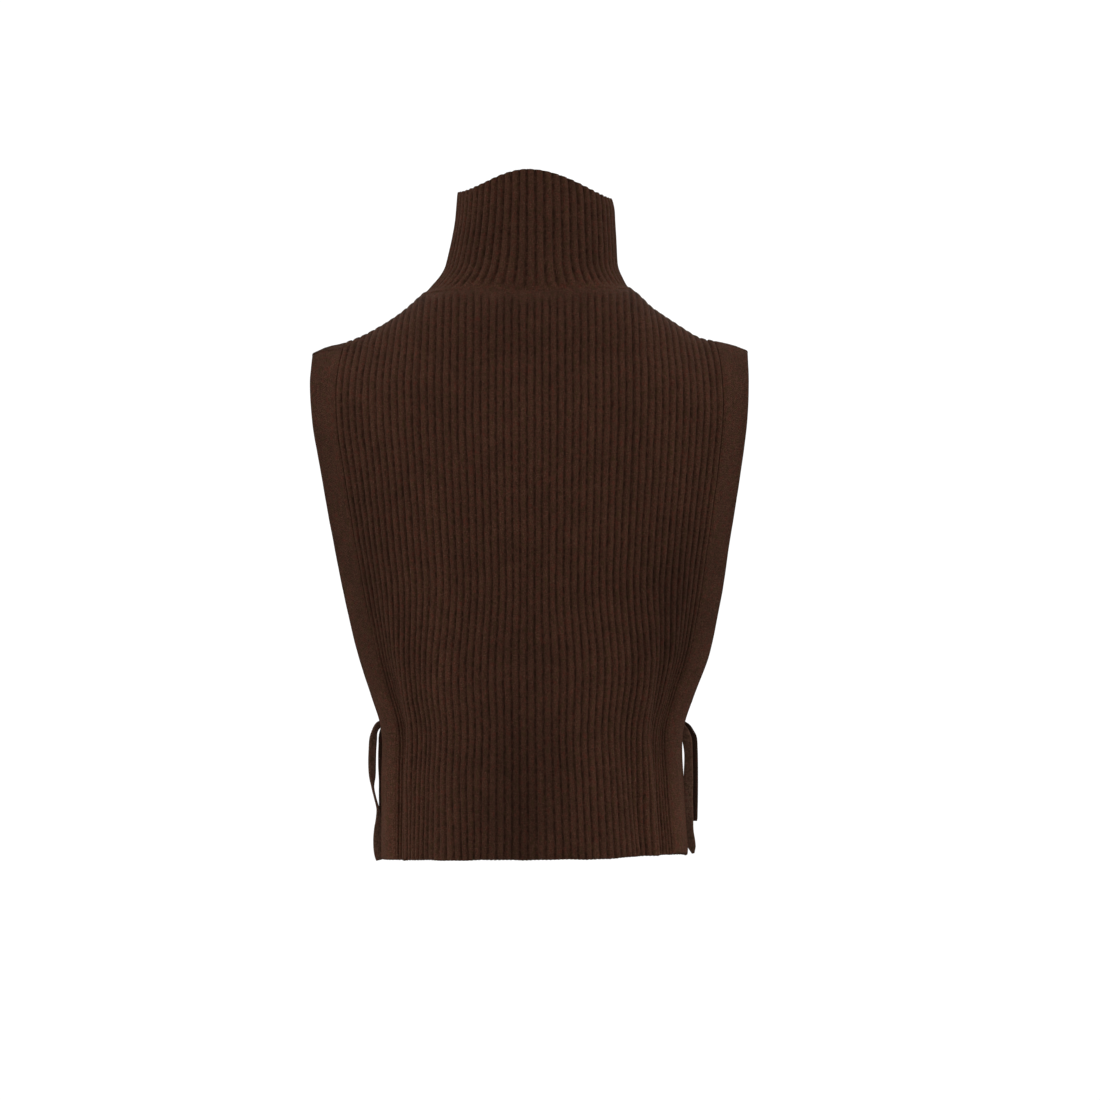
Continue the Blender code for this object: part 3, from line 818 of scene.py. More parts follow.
class NodeTool:
    """A Geometry Nodes tree with named inputs, put on objects as a modifier."""

    def __init__(self, name: str, sockets: dict[str, str]) -> None:
        """Start a tree.

        Args:
            name: the tree's name.
            sockets: its inputs' names and socket types.
        """
        self.tree = bpy.data.node_groups.new(name, "GeometryNodeTree")
        face = self.tree.interface
        face.new_socket("Geometry", in_out="INPUT", socket_type="NodeSocketGeometry")
        face.new_socket("Geometry", in_out="OUTPUT", socket_type="NodeSocketGeometry")
        self.sockets = {
            word: face.new_socket(word, in_out="INPUT", socket_type=kind).identifier
            for word, kind in sockets.items()
        }
        self.source = put(self.tree, "NodeGroupInput")
        self.build()

    def build(self) -> None:
        """Fill the tree; each tool has its own."""
        raise NotImplementedError

    def close(self, geometry: Feed) -> None:
        """End the tree.

        Args:
            geometry: what it made; it becomes plain geometry in its finish.
        """
        real = put(self.tree, "GeometryNodeRealizeInstances", geometry)
        dressed = put(self.tree, "GeometryNodeSetMaterial",
                      {"Geometry": real, "Material": self.source.outputs["Finish"]})
        put(self.tree, "NodeGroupOutput", dressed)

    def apply(self, raw: bpy.types.Object, name: str, **values: object) -> bpy.types.Object:
        """Run the tree on an object.

        Args:
            raw: the object to work on; it is used up.
            name: the finished piece's name.
            values: the tree's inputs, with _ for a space in a name.

        Returns:
            The finished plain piece.
        """
        modifier = raw.modifiers.new(self.tree.name, "NODES")
        modifier.node_group = self.tree
        for word, value in values.items():
            modifier[self.sockets[word.replace("_", " ")]] = value
        return settle(raw, name)


class RibKnit(NodeTool):
    """Turns a smooth sheet into cloth of real thickness, with ribs on both its faces."""

    flank = (0.08, 0.60)             # where a rib's flank begins and ends, on its half width
    dome = 0.15                      # part of its height that is domed and not flank
    weld = 0.000002                  # corners nearer than this are one

    def __init__(self) -> None:
        """Make the tree."""
        super().__init__("rib_knit", {
            "Wall": "NodeSocketFloat", "Rib Depth": "NodeSocketFloat",
            "Unevenness": "NodeSocketFloat", "Wave Length": "NodeSocketFloat",
            "Seed": "NodeSocketFloat", "Finish": "NodeSocketMaterial"})

    def face(self, phase: Feed, depth: Feed, half: Feed) -> Feed:
        """Find one face of the cloth: broad, slightly domed ribs between narrow grooves.

        Args:
            phase: 0 in the middle of a groove, 1 on the middle of a rib.
            depth: how far the ribs stand out.
            half: half the thickness of the wall.

        Returns:
            How far the face lies off the middle of the cloth.
        """
        tree = self.tree
        steep = put(tree, RANGE, phase, *self.flank, **EASED)
        steep = put(tree, MATH, steep, 1 - self.dome, operation="MULTIPLY")
        turn = put(tree, MATH, phase, pi / 2, operation="MULTIPLY")
        crown = put(tree, MATH, turn, operation="SINE")
        rib = put(tree, MATH, crown, self.dome, steep, operation="MULTIPLY_ADD")
        middle = put(tree, MATH, rib, 0.5, operation="SUBTRACT")
        return put(tree, MATH, middle, depth, half, operation="MULTIPLY_ADD")

    def build(self) -> None:
        """Offset both faces of the sheet along its rib profile and close the edges."""
        tree, source = self.tree, self.source.outputs
        ribs, relief, plump = (put(tree, ATTRIBUTE, {"Name": word})
                               for word in ("ribs", "relief", "plump"))
        out = put(tree, ATTRIBUTE, {"Name": "out"}, data_type="FLOAT_VECTOR")
        half = put(tree, MATH, source["Wall"], 0.5, operation="MULTIPLY")
        half = put(tree, MATH, half, plump, operation="MULTIPLY")
        depth = put(tree, MATH, source["Rib Depth"], relief, operation="MULTIPLY")
        # From 0 in the middle of a groove to 1 on the middle of a rib, and the other way
        # round on the inner face, where grooves back the ribs.
        twice = put(tree, MATH, ribs, 2.0, operation="MULTIPLY")
        phase = put(tree, MATH, twice, 1.0, operation="PINGPONG")
        backing = put(tree, MATH, 1.0, phase, operation="SUBTRACT")
        outer = self.face(phase, depth, half)
        inner = put(tree, MATH, self.face(backing, depth, half), -1.0, operation="MULTIPLY")
        wall = put(tree, "GeometryNodeExtrudeMesh",
                   {"Mesh": source["Geometry"], "Offset Scale": 0.0, "Individual": False},
                   mode="FACES")
        either = put(tree, "GeometryNodeSwitch",
                     {"Switch": wall.outputs["Top"], "False": inner, "True": outer},
                     input_type="FLOAT")
        outside, inside = (
            put(tree, "GeometryNodeSetPosition",
                {"Geometry": mesh, "Offset": put(tree, "ShaderNodeVectorMath",
                                                 {0: out, "Scale": lift}, operation="SCALE")})
            for mesh, lift in ((wall, either), (source["Geometry"], inner)))
        both = put(tree, "GeometryNodeJoinGeometry", outside)
        tree.links.new(put(tree, "GeometryNodeFlipFaces", inside).outputs[0], both.inputs[0])
        closed = put(tree, "GeometryNodeMergeByDistance", {"Geometry": both, "Distance": self.weld})
        # Hand-wound yarn never lies quite even, so the whole cloth wanders a little.
        scale = put(tree, MATH, 1.0, source["Wave Length"], operation="DIVIDE")
        noise = put(tree, NOISE, {"W": source["Seed"], "Scale": scale, "Detail": 2.0},
                    noise_dimensions="4D")
        middle = put(tree, "ShaderNodeVectorMath", noise.outputs["Color"], (0.5, 0.5, 0.5),
                     operation="SUBTRACT")
        wander = put(tree, "ShaderNodeVectorMath", {0: middle, "Scale": source["Unevenness"]},
                     operation="SCALE")
        uneven = put(tree, "GeometryNodeSetPosition", {"Geometry": closed, "Offset": wander})
        self.close(put(tree, "GeometryNodeSetShadeSmooth", uneven))


class SeamStitches(NodeTool):
    """Lays slanted yarn stitches in a row along a seam."""

    loose = 0.12                     # how far a stitch may turn from its slant, in radians

    def __init__(self) -> None:
        """Make the tree."""
        super().__init__("seam_stitches", {
            "Spacing": "NodeSocketFloat", "Stitch Length": "NodeSocketFloat",
            "Yarn": "NodeSocketFloat", "Slant": "NodeSocketFloat", "Seed": "NodeSocketInt",
            "Finish": "NodeSocketMaterial"})

    def build(self) -> None:
        """Space points along the line and set one small bead of yarn on each."""
        tree, source = self.tree, self.source.outputs
        line = put(tree, "GeometryNodeMeshToCurve", source["Geometry"])
        spaced = put(tree, "GeometryNodeResampleCurve",
                     {"Curve": line, "Length": source["Spacing"]}, mode="LENGTH")
        ahead = put(tree, "FunctionNodeAlignRotationToVector",
                    {"Vector": put(tree, "GeometryNodeInputTangent")}, axis="X")
        out = put(tree, ATTRIBUTE, {"Name": "out"}, data_type="FLOAT_VECTOR")
        stood = put(tree, "FunctionNodeAlignRotationToVector",
                    {"Rotation": ahead, "Vector": out}, axis="Z", pivot_axis="X")
        stray = put(tree, "FunctionNodeRandomValue",
                    {2: -self.loose, 3: self.loose, "Seed": source["Seed"]}, data_type="FLOAT")
        slant = put(tree, MATH, source["Slant"], stray, operation="ADD")
        slanted = put(tree, "FunctionNodeRotateRotation",
                      {"Rotation": stood, "Rotate By": put(tree, "ShaderNodeCombineXYZ",
                                                           {"Z": slant})},
                      rotation_space="LOCAL")
        bead = put(tree, "GeometryNodeMeshUVSphere", {"Segments": 6, "Rings": 4, "Radius": 0.5})
        size = put(tree, "ShaderNodeCombineXYZ", source["Stitch Length"], source["Yarn"],
                   source["Yarn"])
        long_bead = put(tree, "GeometryNodeTransform", {"Geometry": bead, "Scale": size})
        smooth = put(tree, "GeometryNodeSetShadeSmooth", long_bead)
        self.close(put(tree, "GeometryNodeInstanceOnPoints",
                       {"Points": spaced, "Instance": smooth, "Rotation": slanted}))


# ---------------------------------------------------------------- finishes
@dataclass(frozen=True)
class WoolFinish:
    """Carded lambswool yarn, spun from dyed fibres of several browns and knitted.

    Yarn like this is matt and a little hairy: it shows no highlight, only a soft pale
    rim where loose fibres catch the light, and its colour is flecked.
    """

    name: str
    pattern: Pattern
    main: str = "#2D1910"            # most of the fibres
    deep: str = "#170A06"            # the darkest fibres, and the painted shade in a groove
    pale: str = "#3F291F"            # the palest fibres
    rust: str = "#421B13"            # scattered red-brown fibres
    olive: str = "#2E2010"           # and yellow-brown ones
    hair: str = "#5C4638"            # loose pale hairs that stand off the yarn
    rim: str = "#A0765C"             # and what they catch of the light
    tufts: float = 850.0             # in a metre: 1.2 mm each, as single hairs hardly show
    flecks: float = 250.0            # lengths of one dye in the yarn, 4 mm each
    clouds: float = 34.0             # stretches of one ball of yarn, 30 mm each
    specks: float = 430.0            # stitches that take the light unlike the next, 2.3 mm
    swells: float = 75.0             # places where the knitting loosens, 13 mm each
    course: float = 0.0024           # height of one stitch
    wale: float = 0.0024             # width of one stitch in the plain knit
    climb: float = 0.6               # how far the legs of its V climb, in courses
    fullness: float = 0.6            # the power that rounds a leg, fuller the smaller it is
    crease: float = 0.60             # height between both legs, as a part of their own
    flank: float = 0.50              # and at their sides
    stray: float = 0.22              # how far a stitch strays sideways, in wales
    astray: float = 0.8              # and along its wale, in courses
    loose: float = 0.55              # how far looser knitting shifts the wales, in wales
    purl: float = 0.17               # part of a rib, on each side, that its groove takes
    bump: float = 0.0006             # how far a stitch stands up
    fuzz: float = 0.0006             # and how far a tuft does
    groove: float = 0.56             # how dark the painted shade in the purl grooves is
    plain_groove: float = 0.20       # and in the gaps between plain wales
    dash: float = 0.0050             # length of the dashes that break a purl groove's painted shade, two courses
    streak: float = 0.030            # length of the streaks in single rows of stitches
    streak_tones: tuple[float, float] = (0.93, 1.08)     # the darkest and the palest

    def material(self) -> bpy.types.Material:
        """Make the material.

        Returns:
            The material.
        """
        made = bpy.data.materials.new(self.name)
        made.use_nodes = True
        tree = made.node_tree
        tree.nodes.clear()
        place = put(tree, "ShaderNodeTexCoord").outputs["Object"]
        tuft, fleck, cloud, speck, swell = (
            put(tree, NOISE, {"Vector": place, "Scale": many, "Detail": detail})
            for many, detail in ((self.tufts, 3.0), (self.flecks, 2.0), (self.clouds, 2.0),
                                 (self.specks, 1.0), (self.swells, 1.0)))
        height, groove, tone = self.stitches(tree, fleck, swell)
        # Fibres are mixed in one kind after another: where a noise goes from the first
        # number to the second, their share grows to the third. The last mix is painted shade in the
        # grooves.
        base = colour(self.main)
        for noise, first, full, share, fibre in (
                (tuft, 0.34, 0.66, 1.0, self.pale), (tuft, 0.44, 0.28, 0.5, self.deep),
                (fleck, 0.54, 0.74, 0.55, self.rust), (fleck, 0.47, 0.32, 0.7, self.olive),
                (tuft, 0.64, 0.76, 0.5, self.hair), (groove, 0.0, 1.0, 1.0, self.deep)):
            part = put(tree, RANGE, noise, first, full, 0.0, share)
            base = put(tree, "ShaderNodeMix", {"Factor": part, 6: base, 7: colour(fibre)},
                       data_type="RGBA")
        # The stitches' height paints a little shade low in each stitch and a little light on its
        # top; clouds and specks darken or lighten the wool a little.
        for cause, low, high, dark, light in (
                (height, 0.0, 1.0, 0.90, 1.05), (cloud, 0.3, 0.7, 0.93, 1.07),
                (speck, 0.3, 0.7, 0.87, 1.13)):
            change = put(tree, RANGE, cause, low, high, dark, light)
            tone = put(tree, MATH, tone, change, operation="MULTIPLY")
        # The panels' painted light and shade, kept in an attribute.
        if self.pattern is not Pattern.YARN:
            faded = put(tree, "ShaderNodeAttribute", attribute_name="faded").outputs["Fac"]
            tone = put(tree, MATH, tone, faded, operation="MULTIPLY")
        shaded = put(tree, "ShaderNodeVectorMath", {0: base, "Scale": tone}, operation="SCALE")
        knit = put(tree, "ShaderNodeBump",
                   {"Height": height, "Distance": self.bump, "Strength": 1.0})
        hairs = put(tree, "ShaderNodeBump",
                    {"Height": tuft, "Distance": self.fuzz, "Strength": 0.8, "Normal": knit})
        matt = put(tree, RANGE, tuft, 0.0, 1.0, 0.86, 1.0)
        shader = put(tree, "ShaderNodeBsdfPrincipled",
                     {"Base Color": shaded, "Roughness": matt, "Specular IOR Level": 0.05,
                      "IOR": 1.5, "Sheen Weight": 0.05, "Sheen Roughness": 0.5,
                      "Sheen Tint": colour(self.rim), "Normal": hairs})
        put(tree, "ShaderNodeOutputMaterial", shader)
        return made

    def streaks(self, tree: bpy.types.NodeTree, row: Feed, shift: float, along: Feed,
                length: float) -> Feed:
        """Streak the rows of stitches, each row with its own streaks.

        Args:
            tree: the material's tree.
            row: the row's whole number.
            shift: which of its streaks are meant.
            along: the distance along the row.
            length: how long they are, in metres.

        Returns:
            The streaks, a noise from 0 to 1.
        """
        aside = put(tree, MATH, row, 7.3, shift, operation="MULTIPLY_ADD")
        ahead = put(tree, MATH, along, length, operation="DIVIDE")
        where = put(tree, "ShaderNodeCombineXYZ", aside, ahead)
        return put(tree, NOISE, {"Vector": where, "Scale": 1.0, "Detail": 1.0})

    def stitches(self, tree: bpy.types.NodeTree, fleck: Feed,
                 swell: Feed) -> tuple[Feed, Feed, Feed]:
        """Build the stitches from the piece's own map.

        The map's first number counts ribs, or metres on a plain knit, and the second is
        the distance along the wales in metres.

        Args:
            tree: the material's tree.
            fleck: a noise about as coarse as a stitch.
            swell: a noise about as coarse as two ribs.

        Returns:
            The stitches' height and the painted shade in the grooves, both from 0 to 1,
            and the tone of the yarn there.
        """
        spot = put(tree, "ShaderNodeSeparateXYZ",
                   put(tree, "ShaderNodeUVMap", uv_map=KNIT_UV)).outputs
        wale = spot[0]
        if self.pattern is not Pattern.RIB:
            wale = put(tree, MATH, wale, self.wale, operation="DIVIDE")
        row = put(tree, MATH, wale, operation="FLOOR")
        tone = put(tree, RANGE, self.streaks(tree, row, 0.4, spot[1], self.streak), 0.3, 0.7,
                   *self.streak_tones, **EASED)
        # No two stitches are quite alike: each strays by a few hundredths of a wale.
        stray = put(tree, MATH, fleck, 0.5, operation="SUBTRACT")
        wale = put(tree, MATH, stray, self.stray, wale, operation="MULTIPLY_ADD")
        loose = put(tree, MATH, swell, 0.5, operation="SUBTRACT")
        wale = put(tree, MATH, loose, self.loose, wale, operation="MULTIPLY_ADD")
        course = put(tree, MATH, spot[1], self.course, operation="DIVIDE")
        course = put(tree, MATH, stray, self.astray, course, operation="MULTIPLY_ADD")
        # From 0 on the middle of a rib to 1 in the groove.
        twice = put(tree, MATH, wale, 2.0, 1.0, operation="MULTIPLY_ADD")
        off = put(tree, MATH, twice, 1.0, operation="PINGPONG")
        # Two stitches lie side by side on a rib.  Each is a V: two legs that climb from its
        # middle to its sides.
        beside = off
        if self.pattern is Pattern.RIB:
            legs = 2 / (0.5 - self.purl)
            part = put(tree, MATH, wale, operation="FRACT")
            pair = put(tree, MATH, part, legs, 1 - legs * self.purl, operation="MULTIPLY_ADD")
            beside = put(tree, MATH, pair, 1.0, operation="PINGPONG")
        climb = put(tree, MATH, beside, -self.climb, course, operation="MULTIPLY_ADD")
        climb = put(tree, MATH, climb, operation="FRACT")
        leg = put(tree, MATH, climb, pi, operation="MULTIPLY")
        leg = put(tree, MATH, leg, operation="SINE")
        leg = put(tree, MATH, leg, self.fullness, operation="POWER")
        crease = put(tree, RANGE, beside, 0.0, 0.20, self.crease, 1.0, **EASED)
        flank = put(tree, RANGE, beside, 0.80, 1.0, 1.0, self.flank, **EASED)
        height = put(tree, MATH, crease, flank, operation="MULTIPLY")
        height = put(tree, MATH, leg, height, operation="MULTIPLY")
        if self.pattern is not Pattern.RIB:
            # Painted shade in the gaps between plain wales.
            gap = put(tree, RANGE, off, 0.75, 1.0, 0.0, self.plain_groove, **EASED)
            return height, gap, tone
        # The painted shade in a groove is broken into a row of dark dashes, where purl bumps catch
        # some light.
        row = put(tree, MATH, wale, operation="ROUND")
        dash = put(tree, RANGE, self.streaks(tree, row, 2.6, spot[1], self.dash), 0.38, 0.60,
                   0.05, 1.0, **EASED)
        # Painted shade in the purl grooves, darkest in their middle.
        deep = put(tree, RANGE, off, 0.56, 0.96, 0.0, self.groove, **EASED)
        deep = put(tree, MATH, deep, dash, operation="MULTIPLY")
        relief = put(tree, "ShaderNodeAttribute", attribute_name="relief").outputs["Fac"]
        return height, put(tree, MATH, deep, relief, operation="MULTIPLY"), tone


@dataclass(frozen=True)
class StudioFinish:
    """Matt white painted board, rolled smooth: it gives an even pale ground."""

    name: str = "matt_white_board"
    paint: str = "#BDBDBC"

    def material(self) -> bpy.types.Material:
        """Make the material.

        Returns:
            The material.
        """
        made = bpy.data.materials.new(self.name)
        made.use_nodes = True
        shader = made.node_tree.nodes["Principled BSDF"]
        shader.inputs["Base Color"].default_value = colour(self.paint)
        shader.inputs["Roughness"].default_value = 0.9
        return made


# ---------------------------------------------------------------- ribbed and plain cloth
@dataclass(frozen=True)
class Workshop:
    """The tools and finishes that every piece shares."""

    rib_knit: RibKnit
    seam: SeamStitches
    ribbed: bpy.types.Material
    plain: bpy.types.Material
    strap: bpy.types.Material
    # a much darker copy of the strap wool, as painted shade
    shaded_strap: bpy.types.Material
    yarn: bpy.types.Material


def rounded(inside: Array) -> Array:
    """How thick a cloth is at a distance inside its edge, as a part of its full thickness."""
    return np.clip(0.5 + 0.5 * np.sqrt(inside / EDGE), 0.0, 1.0)


def freed(past: Array, zone: Array) -> Array:
    """How far ribs stand out past a seam that presses them flat, full beyond a zone."""
    return PRESSED + (1 - PRESSED) * smooth_step(past / zone)


@dataclass(frozen=True)
class RibPanel:
    """The ribbed back or front of the body."""

    panel: Panel
    body: BodyForm
    ribs: int = 53
    rows: int = 104
    wall: float = 0.0016             # thickness of the fabric itself
    rib_depth: float = 0.0022
    seam_gap: float = 0.0001         # between this edge and the piece sewn to it
    neck_zone: float = 0.0190        # how far the neck seam presses the ribs flat
    shoulder_zone: float = 0.0030    # and the shoulder seam
    quite_flat: float = 0.22         # the part of that in which they stay flat
    edge_plump: float = 0.45         # thickness of a side edge, as a part of the full one
    edge_gain: float = 1.6           # and what it gains over the width of a rib
    unevenness: float = 0.0018
    wave: float = 0.045

    # Places on one rib, from its groove over its crest; the flanks need the most.
    profile = (0.0, 0.06, 0.15, 0.26, 0.5, 0.74, 0.85, 0.94)

    def rib_places(self) -> Array:
        """Where the columns of the sheet lie, counted in ribs."""
        whole = np.arange(self.ribs)[:, None] + np.array(self.profile)
        return np.append(whole.ravel(), float(self.ribs))

    def row_parts(self) -> Array:
        """Where the rows lie between the top edge and the hem, closer at both ends."""
        inner = np.linspace(0.012, 0.988, self.rows)
        return np.concatenate([[0.0, 0.0015, 0.004, 0.0075], inner, [0.9955, 0.9985, 1.0]])

    def grid(self) -> ClothGrid:
        """Lay the sheet out on the body's form.

        Returns:
            The sheet.
        """
        body, panel, places = self.body, self.panel, self.rib_places()
        edge = body.band_start - self.seam_gap / body.flat_width
        across, part = np.meshgrid((places / self.ribs * 2 - 1) * edge, self.row_parts())
        top = (body.top_line(panel, across) + self.seam_gap) * (1 - part) ** 3
        down = part * body.hem_line(panel, across) + top
        across = body.drifted(panel, across, body.points(panel, across, down)[..., 2])
        down = part * body.hem_line(panel, across) + top
        points = body.points(panel, across, down)
        below = down - down[0]
        on_neck = smooth_step(3 * body.neck_dip(across))
        zone = self.neck_zone * stagger(places)
        zone = self.shoulder_zone + (zone - self.shoulder_zone) * on_neck
        flat = self.quite_flat * zone
        sides = np.minimum(places, self.ribs - places)
        thin = np.clip(self.edge_plump + sides * self.edge_gain, 0.0, 1.0)
        return ClothGrid(points, body.normals(panel, across, down),
                         np.tile(places, (len(part), 1)), below, freed(below - flat, zone - flat),
                         thin * rounded(down[-1] - down), body.faded(panel, across, points[..., 2]))

    def make(self, shop: Workshop) -> bpy.types.Object:
        """Knit the panel.

        Args:
            shop: the shared tools.

        Returns:
            The finished piece.
        """
        name = f"{self.panel.value}_rib_cloth"
        piece = shop.rib_knit.apply(
            self.grid().flat_mesh(name + "_sheet"), name, Wall=self.wall,
            Rib_Depth=self.rib_depth, Unevenness=self.unevenness, Wave_Length=self.wave,
            Seed=self.panel.seed, Finish=shop.ribbed)
        return hand_in(piece, f"{self.panel.value}_panel")

    def flat_area(self) -> tuple[float, float, float]:
        """Measure the cut, with its neck scooped out.

        Returns:
            Its width, its length and its area.
        """
        width = self.body.flat_width * self.body.band_start
        length = self.body.flat_length
        neck = (self.body.neck_left + self.body.neck_right) * self.body.flat_width / 4
        scoop = pi / 2 * neck * self.body.neck_drop(self.panel)
        return width, length, width * length - scoop


@dataclass(frozen=True)
class SideBand:
    """A plain-knit band that finishes one side edge of a panel."""

    panel: Panel
    side: Side
    body: BodyForm
    wall: float = 0.0030
    seam_gap: float = 0.0001
    tuck: float = 0.0016             # how far the band's edge lies under the panel's, both sides
    unevenness: float = 0.0016
    wave: float = 0.045

    # Places over the band from its seam to its free edge, and its thickness there:
    # thin at the seam, and swollen where the plain knit rolls at its edge.
    profile = ((0.0, 0.35), (0.03, 0.75), (0.09, 0.96), (0.25, 0.95), (0.45, 0.92), (0.65, 0.94),
               (0.80, 1.02), (0.88, 1.22), (0.94, 1.32), (0.975, 1.18), (0.993, 0.86), (1.0, 0.5))

    def grid(self, panel_rows: Array) -> ClothGrid:
        """Lay the band out on the body's form.

        Args:
            panel_rows: where the rows lie between the top edge and the hem.

        Returns:
            The sheet.
        """
        body, panel = self.body, self.panel
        place, thick = np.array(self.profile)[::self.side.value].T
        start = body.band_start - self.tuck / body.flat_width
        columns = (start + (1 - start) * place) * self.side.value
        across, part = np.meshgrid(columns, panel_rows)
        top = body.top_line(panel, across) + self.seam_gap
        down = part * body.hem_line(panel, across) + top * (1 - part) ** 3
        points = body.points(panel, across, down)
        below = down - down[0]
        wide = np.tile(place * self.flat_size()[0], (len(part), 1))
        return ClothGrid(points, body.normals(panel, across, down), wide, below,
                         np.zeros_like(part), thick * rounded(np.minimum(below, down[-1] - down)),
                         body.faded(panel, across, points[..., 2]))

    def make(self, shop: Workshop, panel_rows: Array) -> bpy.types.Object:
        """Knit the band.

        Args:
            shop: the shared tools.
            panel_rows: the rows of the panel beside it.

        Returns:
            The finished piece.
        """
        name = f"{self.panel.value}_{self.side.word}_plain_band"
        piece = shop.rib_knit.apply(
            self.grid(panel_rows).flat_mesh(name + "_sheet"), name, Wall=self.wall,
            Rib_Depth=0.0, Unevenness=self.unevenness, Wave_Length=self.wave,
            Seed=self.panel.seed, Finish=shop.plain)
        return hand_in(piece, f"band_{self.panel.value}_{self.side.word}")

    def flat_size(self) -> tuple[float, float]:
        """Width and length of the band laid flat."""
        return (1 - self.body.band_start) * self.body.flat_width / 2, self.body.flat_length


@dataclass(frozen=True)
class HighCollar:
    """The high ribbed collar."""

    form: CollarForm
    ribs: int = 58
    rows: int = 34
    wall: float = 0.0016
    rib_depth: float = 0.0026
    scallop: float = 0.0009          # how far the ribs' ends stand above the grooves
    scallop_foot: float = 0.8        # part of the height from which they do
    flat_foot: float = 0.0010        # how far the neck seam keeps the ribs quite flat
    flat_zone: float = 0.0100        # and how much further they grow
    shade: float = 0.10              # painted shade that darkens the wool half way up
    unevenness: float = 0.0014
    wave: float = 0.040
    seed: float = BACK.seed

    def grid(self) -> ClothGrid:
        """Lay the collar out on its form.

        Returns:
            The closed sheet.
        """
        places = (np.arange(self.ribs)[:, None] + np.array(RibPanel.profile)).ravel()
        # The first groove lies half a rib off the middle of the back, so a rib is centred.
        angles = (places - 0.5) / self.ribs * 2 * pi
        parts = np.concatenate([[0.0, 0.012, 0.03], np.linspace(0.055, 0.97, self.rows),
                                [0.985, 0.995, 1.0]])
        angle, up = np.meshgrid(angles, parts)
        points = self.form.points(angle, up)
        crest = np.sin(pi * np.mod(places, 1.0)) ** 0.7
        grown = smooth_step((up - self.scallop_foot) / (1 - self.scallop_foot))
        points[..., 2] += self.scallop * crest * grown
        tall = self.form.rim_height(angle) - self.form.seam(angle)[0][..., 2]
        above = tall * up
        relief = freed(above - self.flat_foot, self.flat_zone * stagger(places))
        # The collar's painted light and shade: painted shade, darkest half way up.
        return ClothGrid(points, self.form.normals(angle, up), np.tile(places, (len(parts), 1)),
                         above, relief, rounded(tall - above), 1 - self.shade * np.sin(pi * up),
                         closed=True)

    def make(self, shop: Workshop) -> bpy.types.Object:
        """Knit the collar.

        Args:
            shop: the shared tools.

        Returns:
            The finished piece.
        """
        name = "collar_rib_cloth"
        piece = shop.rib_knit.apply(
            self.grid().flat_mesh(name + "_sheet"), name, Wall=self.wall,
            Rib_Depth=self.rib_depth, Unevenness=self.unevenness, Wave_Length=self.wave,
            Seed=self.seed, Finish=shop.ribbed)
        return hand_in(piece, "collar")


# ---------------------------------------------------------------- ties
class Ending(Enum):
    """How a strap is cut off; the values are the shares of its width near the end."""

    SQUARE = (1.0, 0.98, 0.86)
    POINTED = (0.84, 0.62, 0.30)


def strap_section(thickness: float, roll: float = 0.20) -> Array:
    """Section of a strap: rounded edges that roll a little thicker than its middle.

    Args:
        thickness: of the edges, in metres.
        roll: how much thinner the middle is.

    Returns:
        Points round the section, as parts of the half width and as metres.
    """
    angle = np.linspace(0.0, 2 * pi, 16, endpoint=False) + pi / 16
    # A power under 1 squares the circle off.
    wide = np.sign(np.cos(angle)) * np.abs(np.cos(angle)) ** 0.7
    thick = np.sign(np.sin(angle)) * np.abs(np.sin(angle)) ** 0.55
    return np.stack([wide, thick * (1 - roll * (1 - wide ** 2)) * thickness / 2], axis=-1)


def travelled(points: Array) -> Array:
    """How far along a line of points each of them lies."""
    return np.concatenate([[0.0], np.cumsum(np.linalg.norm(np.diff(points, axis=0), axis=1))])


def swept(name: str, middles: Array, wides: Array, profile: Array, closed: bool,
          finish: bpy.types.Material) -> bpy.types.Object:
    """Sweep a flat rounded section along a route.

    Args:
        name: the piece's name.
        middles: points on the middle of the strap.
        wides: half-width vectors there.
        profile: the section, as parts of the half width and as metres of thickness.
        closed: whether the route is a ring.
        finish: the material.

    Returns:
        The strap.
    """
    if closed:
        ahead = unit(np.roll(middles, -1, axis=0) - np.roll(middles, 1, axis=0))
    else:
        ahead = unit(np.gradient(middles, axis=0))
    thick = unit(np.cross(ahead, wides))
    rings = (middles[:, None] + wides[:, None] * profile[None, :, :1]
             + thick[:, None] * profile[None, :, 1:])
    count, around = rings.shape[:2]
    gone = travelled(middles)
    edge = travelled(np.concatenate([rings[count // 2], rings[count // 2][:1]]))
    faces, spots = [], []
    for i in range(count if closed else count - 1):
        j = (i + 1) % count
        end = gone[i + 1] if i + 1 < count else gone[i] + gone[1]
        for k in range(around):
            m = (k + 1) % around
            faces.append([i * around + k, i * around + m, j * around + m, j * around + k])
            spots += [(edge[k], gone[i]), (edge[k + 1], gone[i]), (edge[k + 1], end),
                      (edge[k], end)]
    if not closed:
        for i, order in ((0, -1), (count - 1, 1)):
            ring = list(range(i * around, (i + 1) * around))[::order]
            faces.append(ring)
            spots += [(edge[k % around], gone[i]) for k in ring]
    mesh = bpy.data.meshes.new(name)
    mesh.from_pydata(rings.reshape(-1, 3).tolist(), [], faces)
    mesh.uv_layers.new(name=KNIT_UV).data.foreach_set("uv", np.array(spots, np.float32).ravel())
    mesh.materials.append(finish)
    mesh.shade_smooth()
    return new_object(name, mesh)


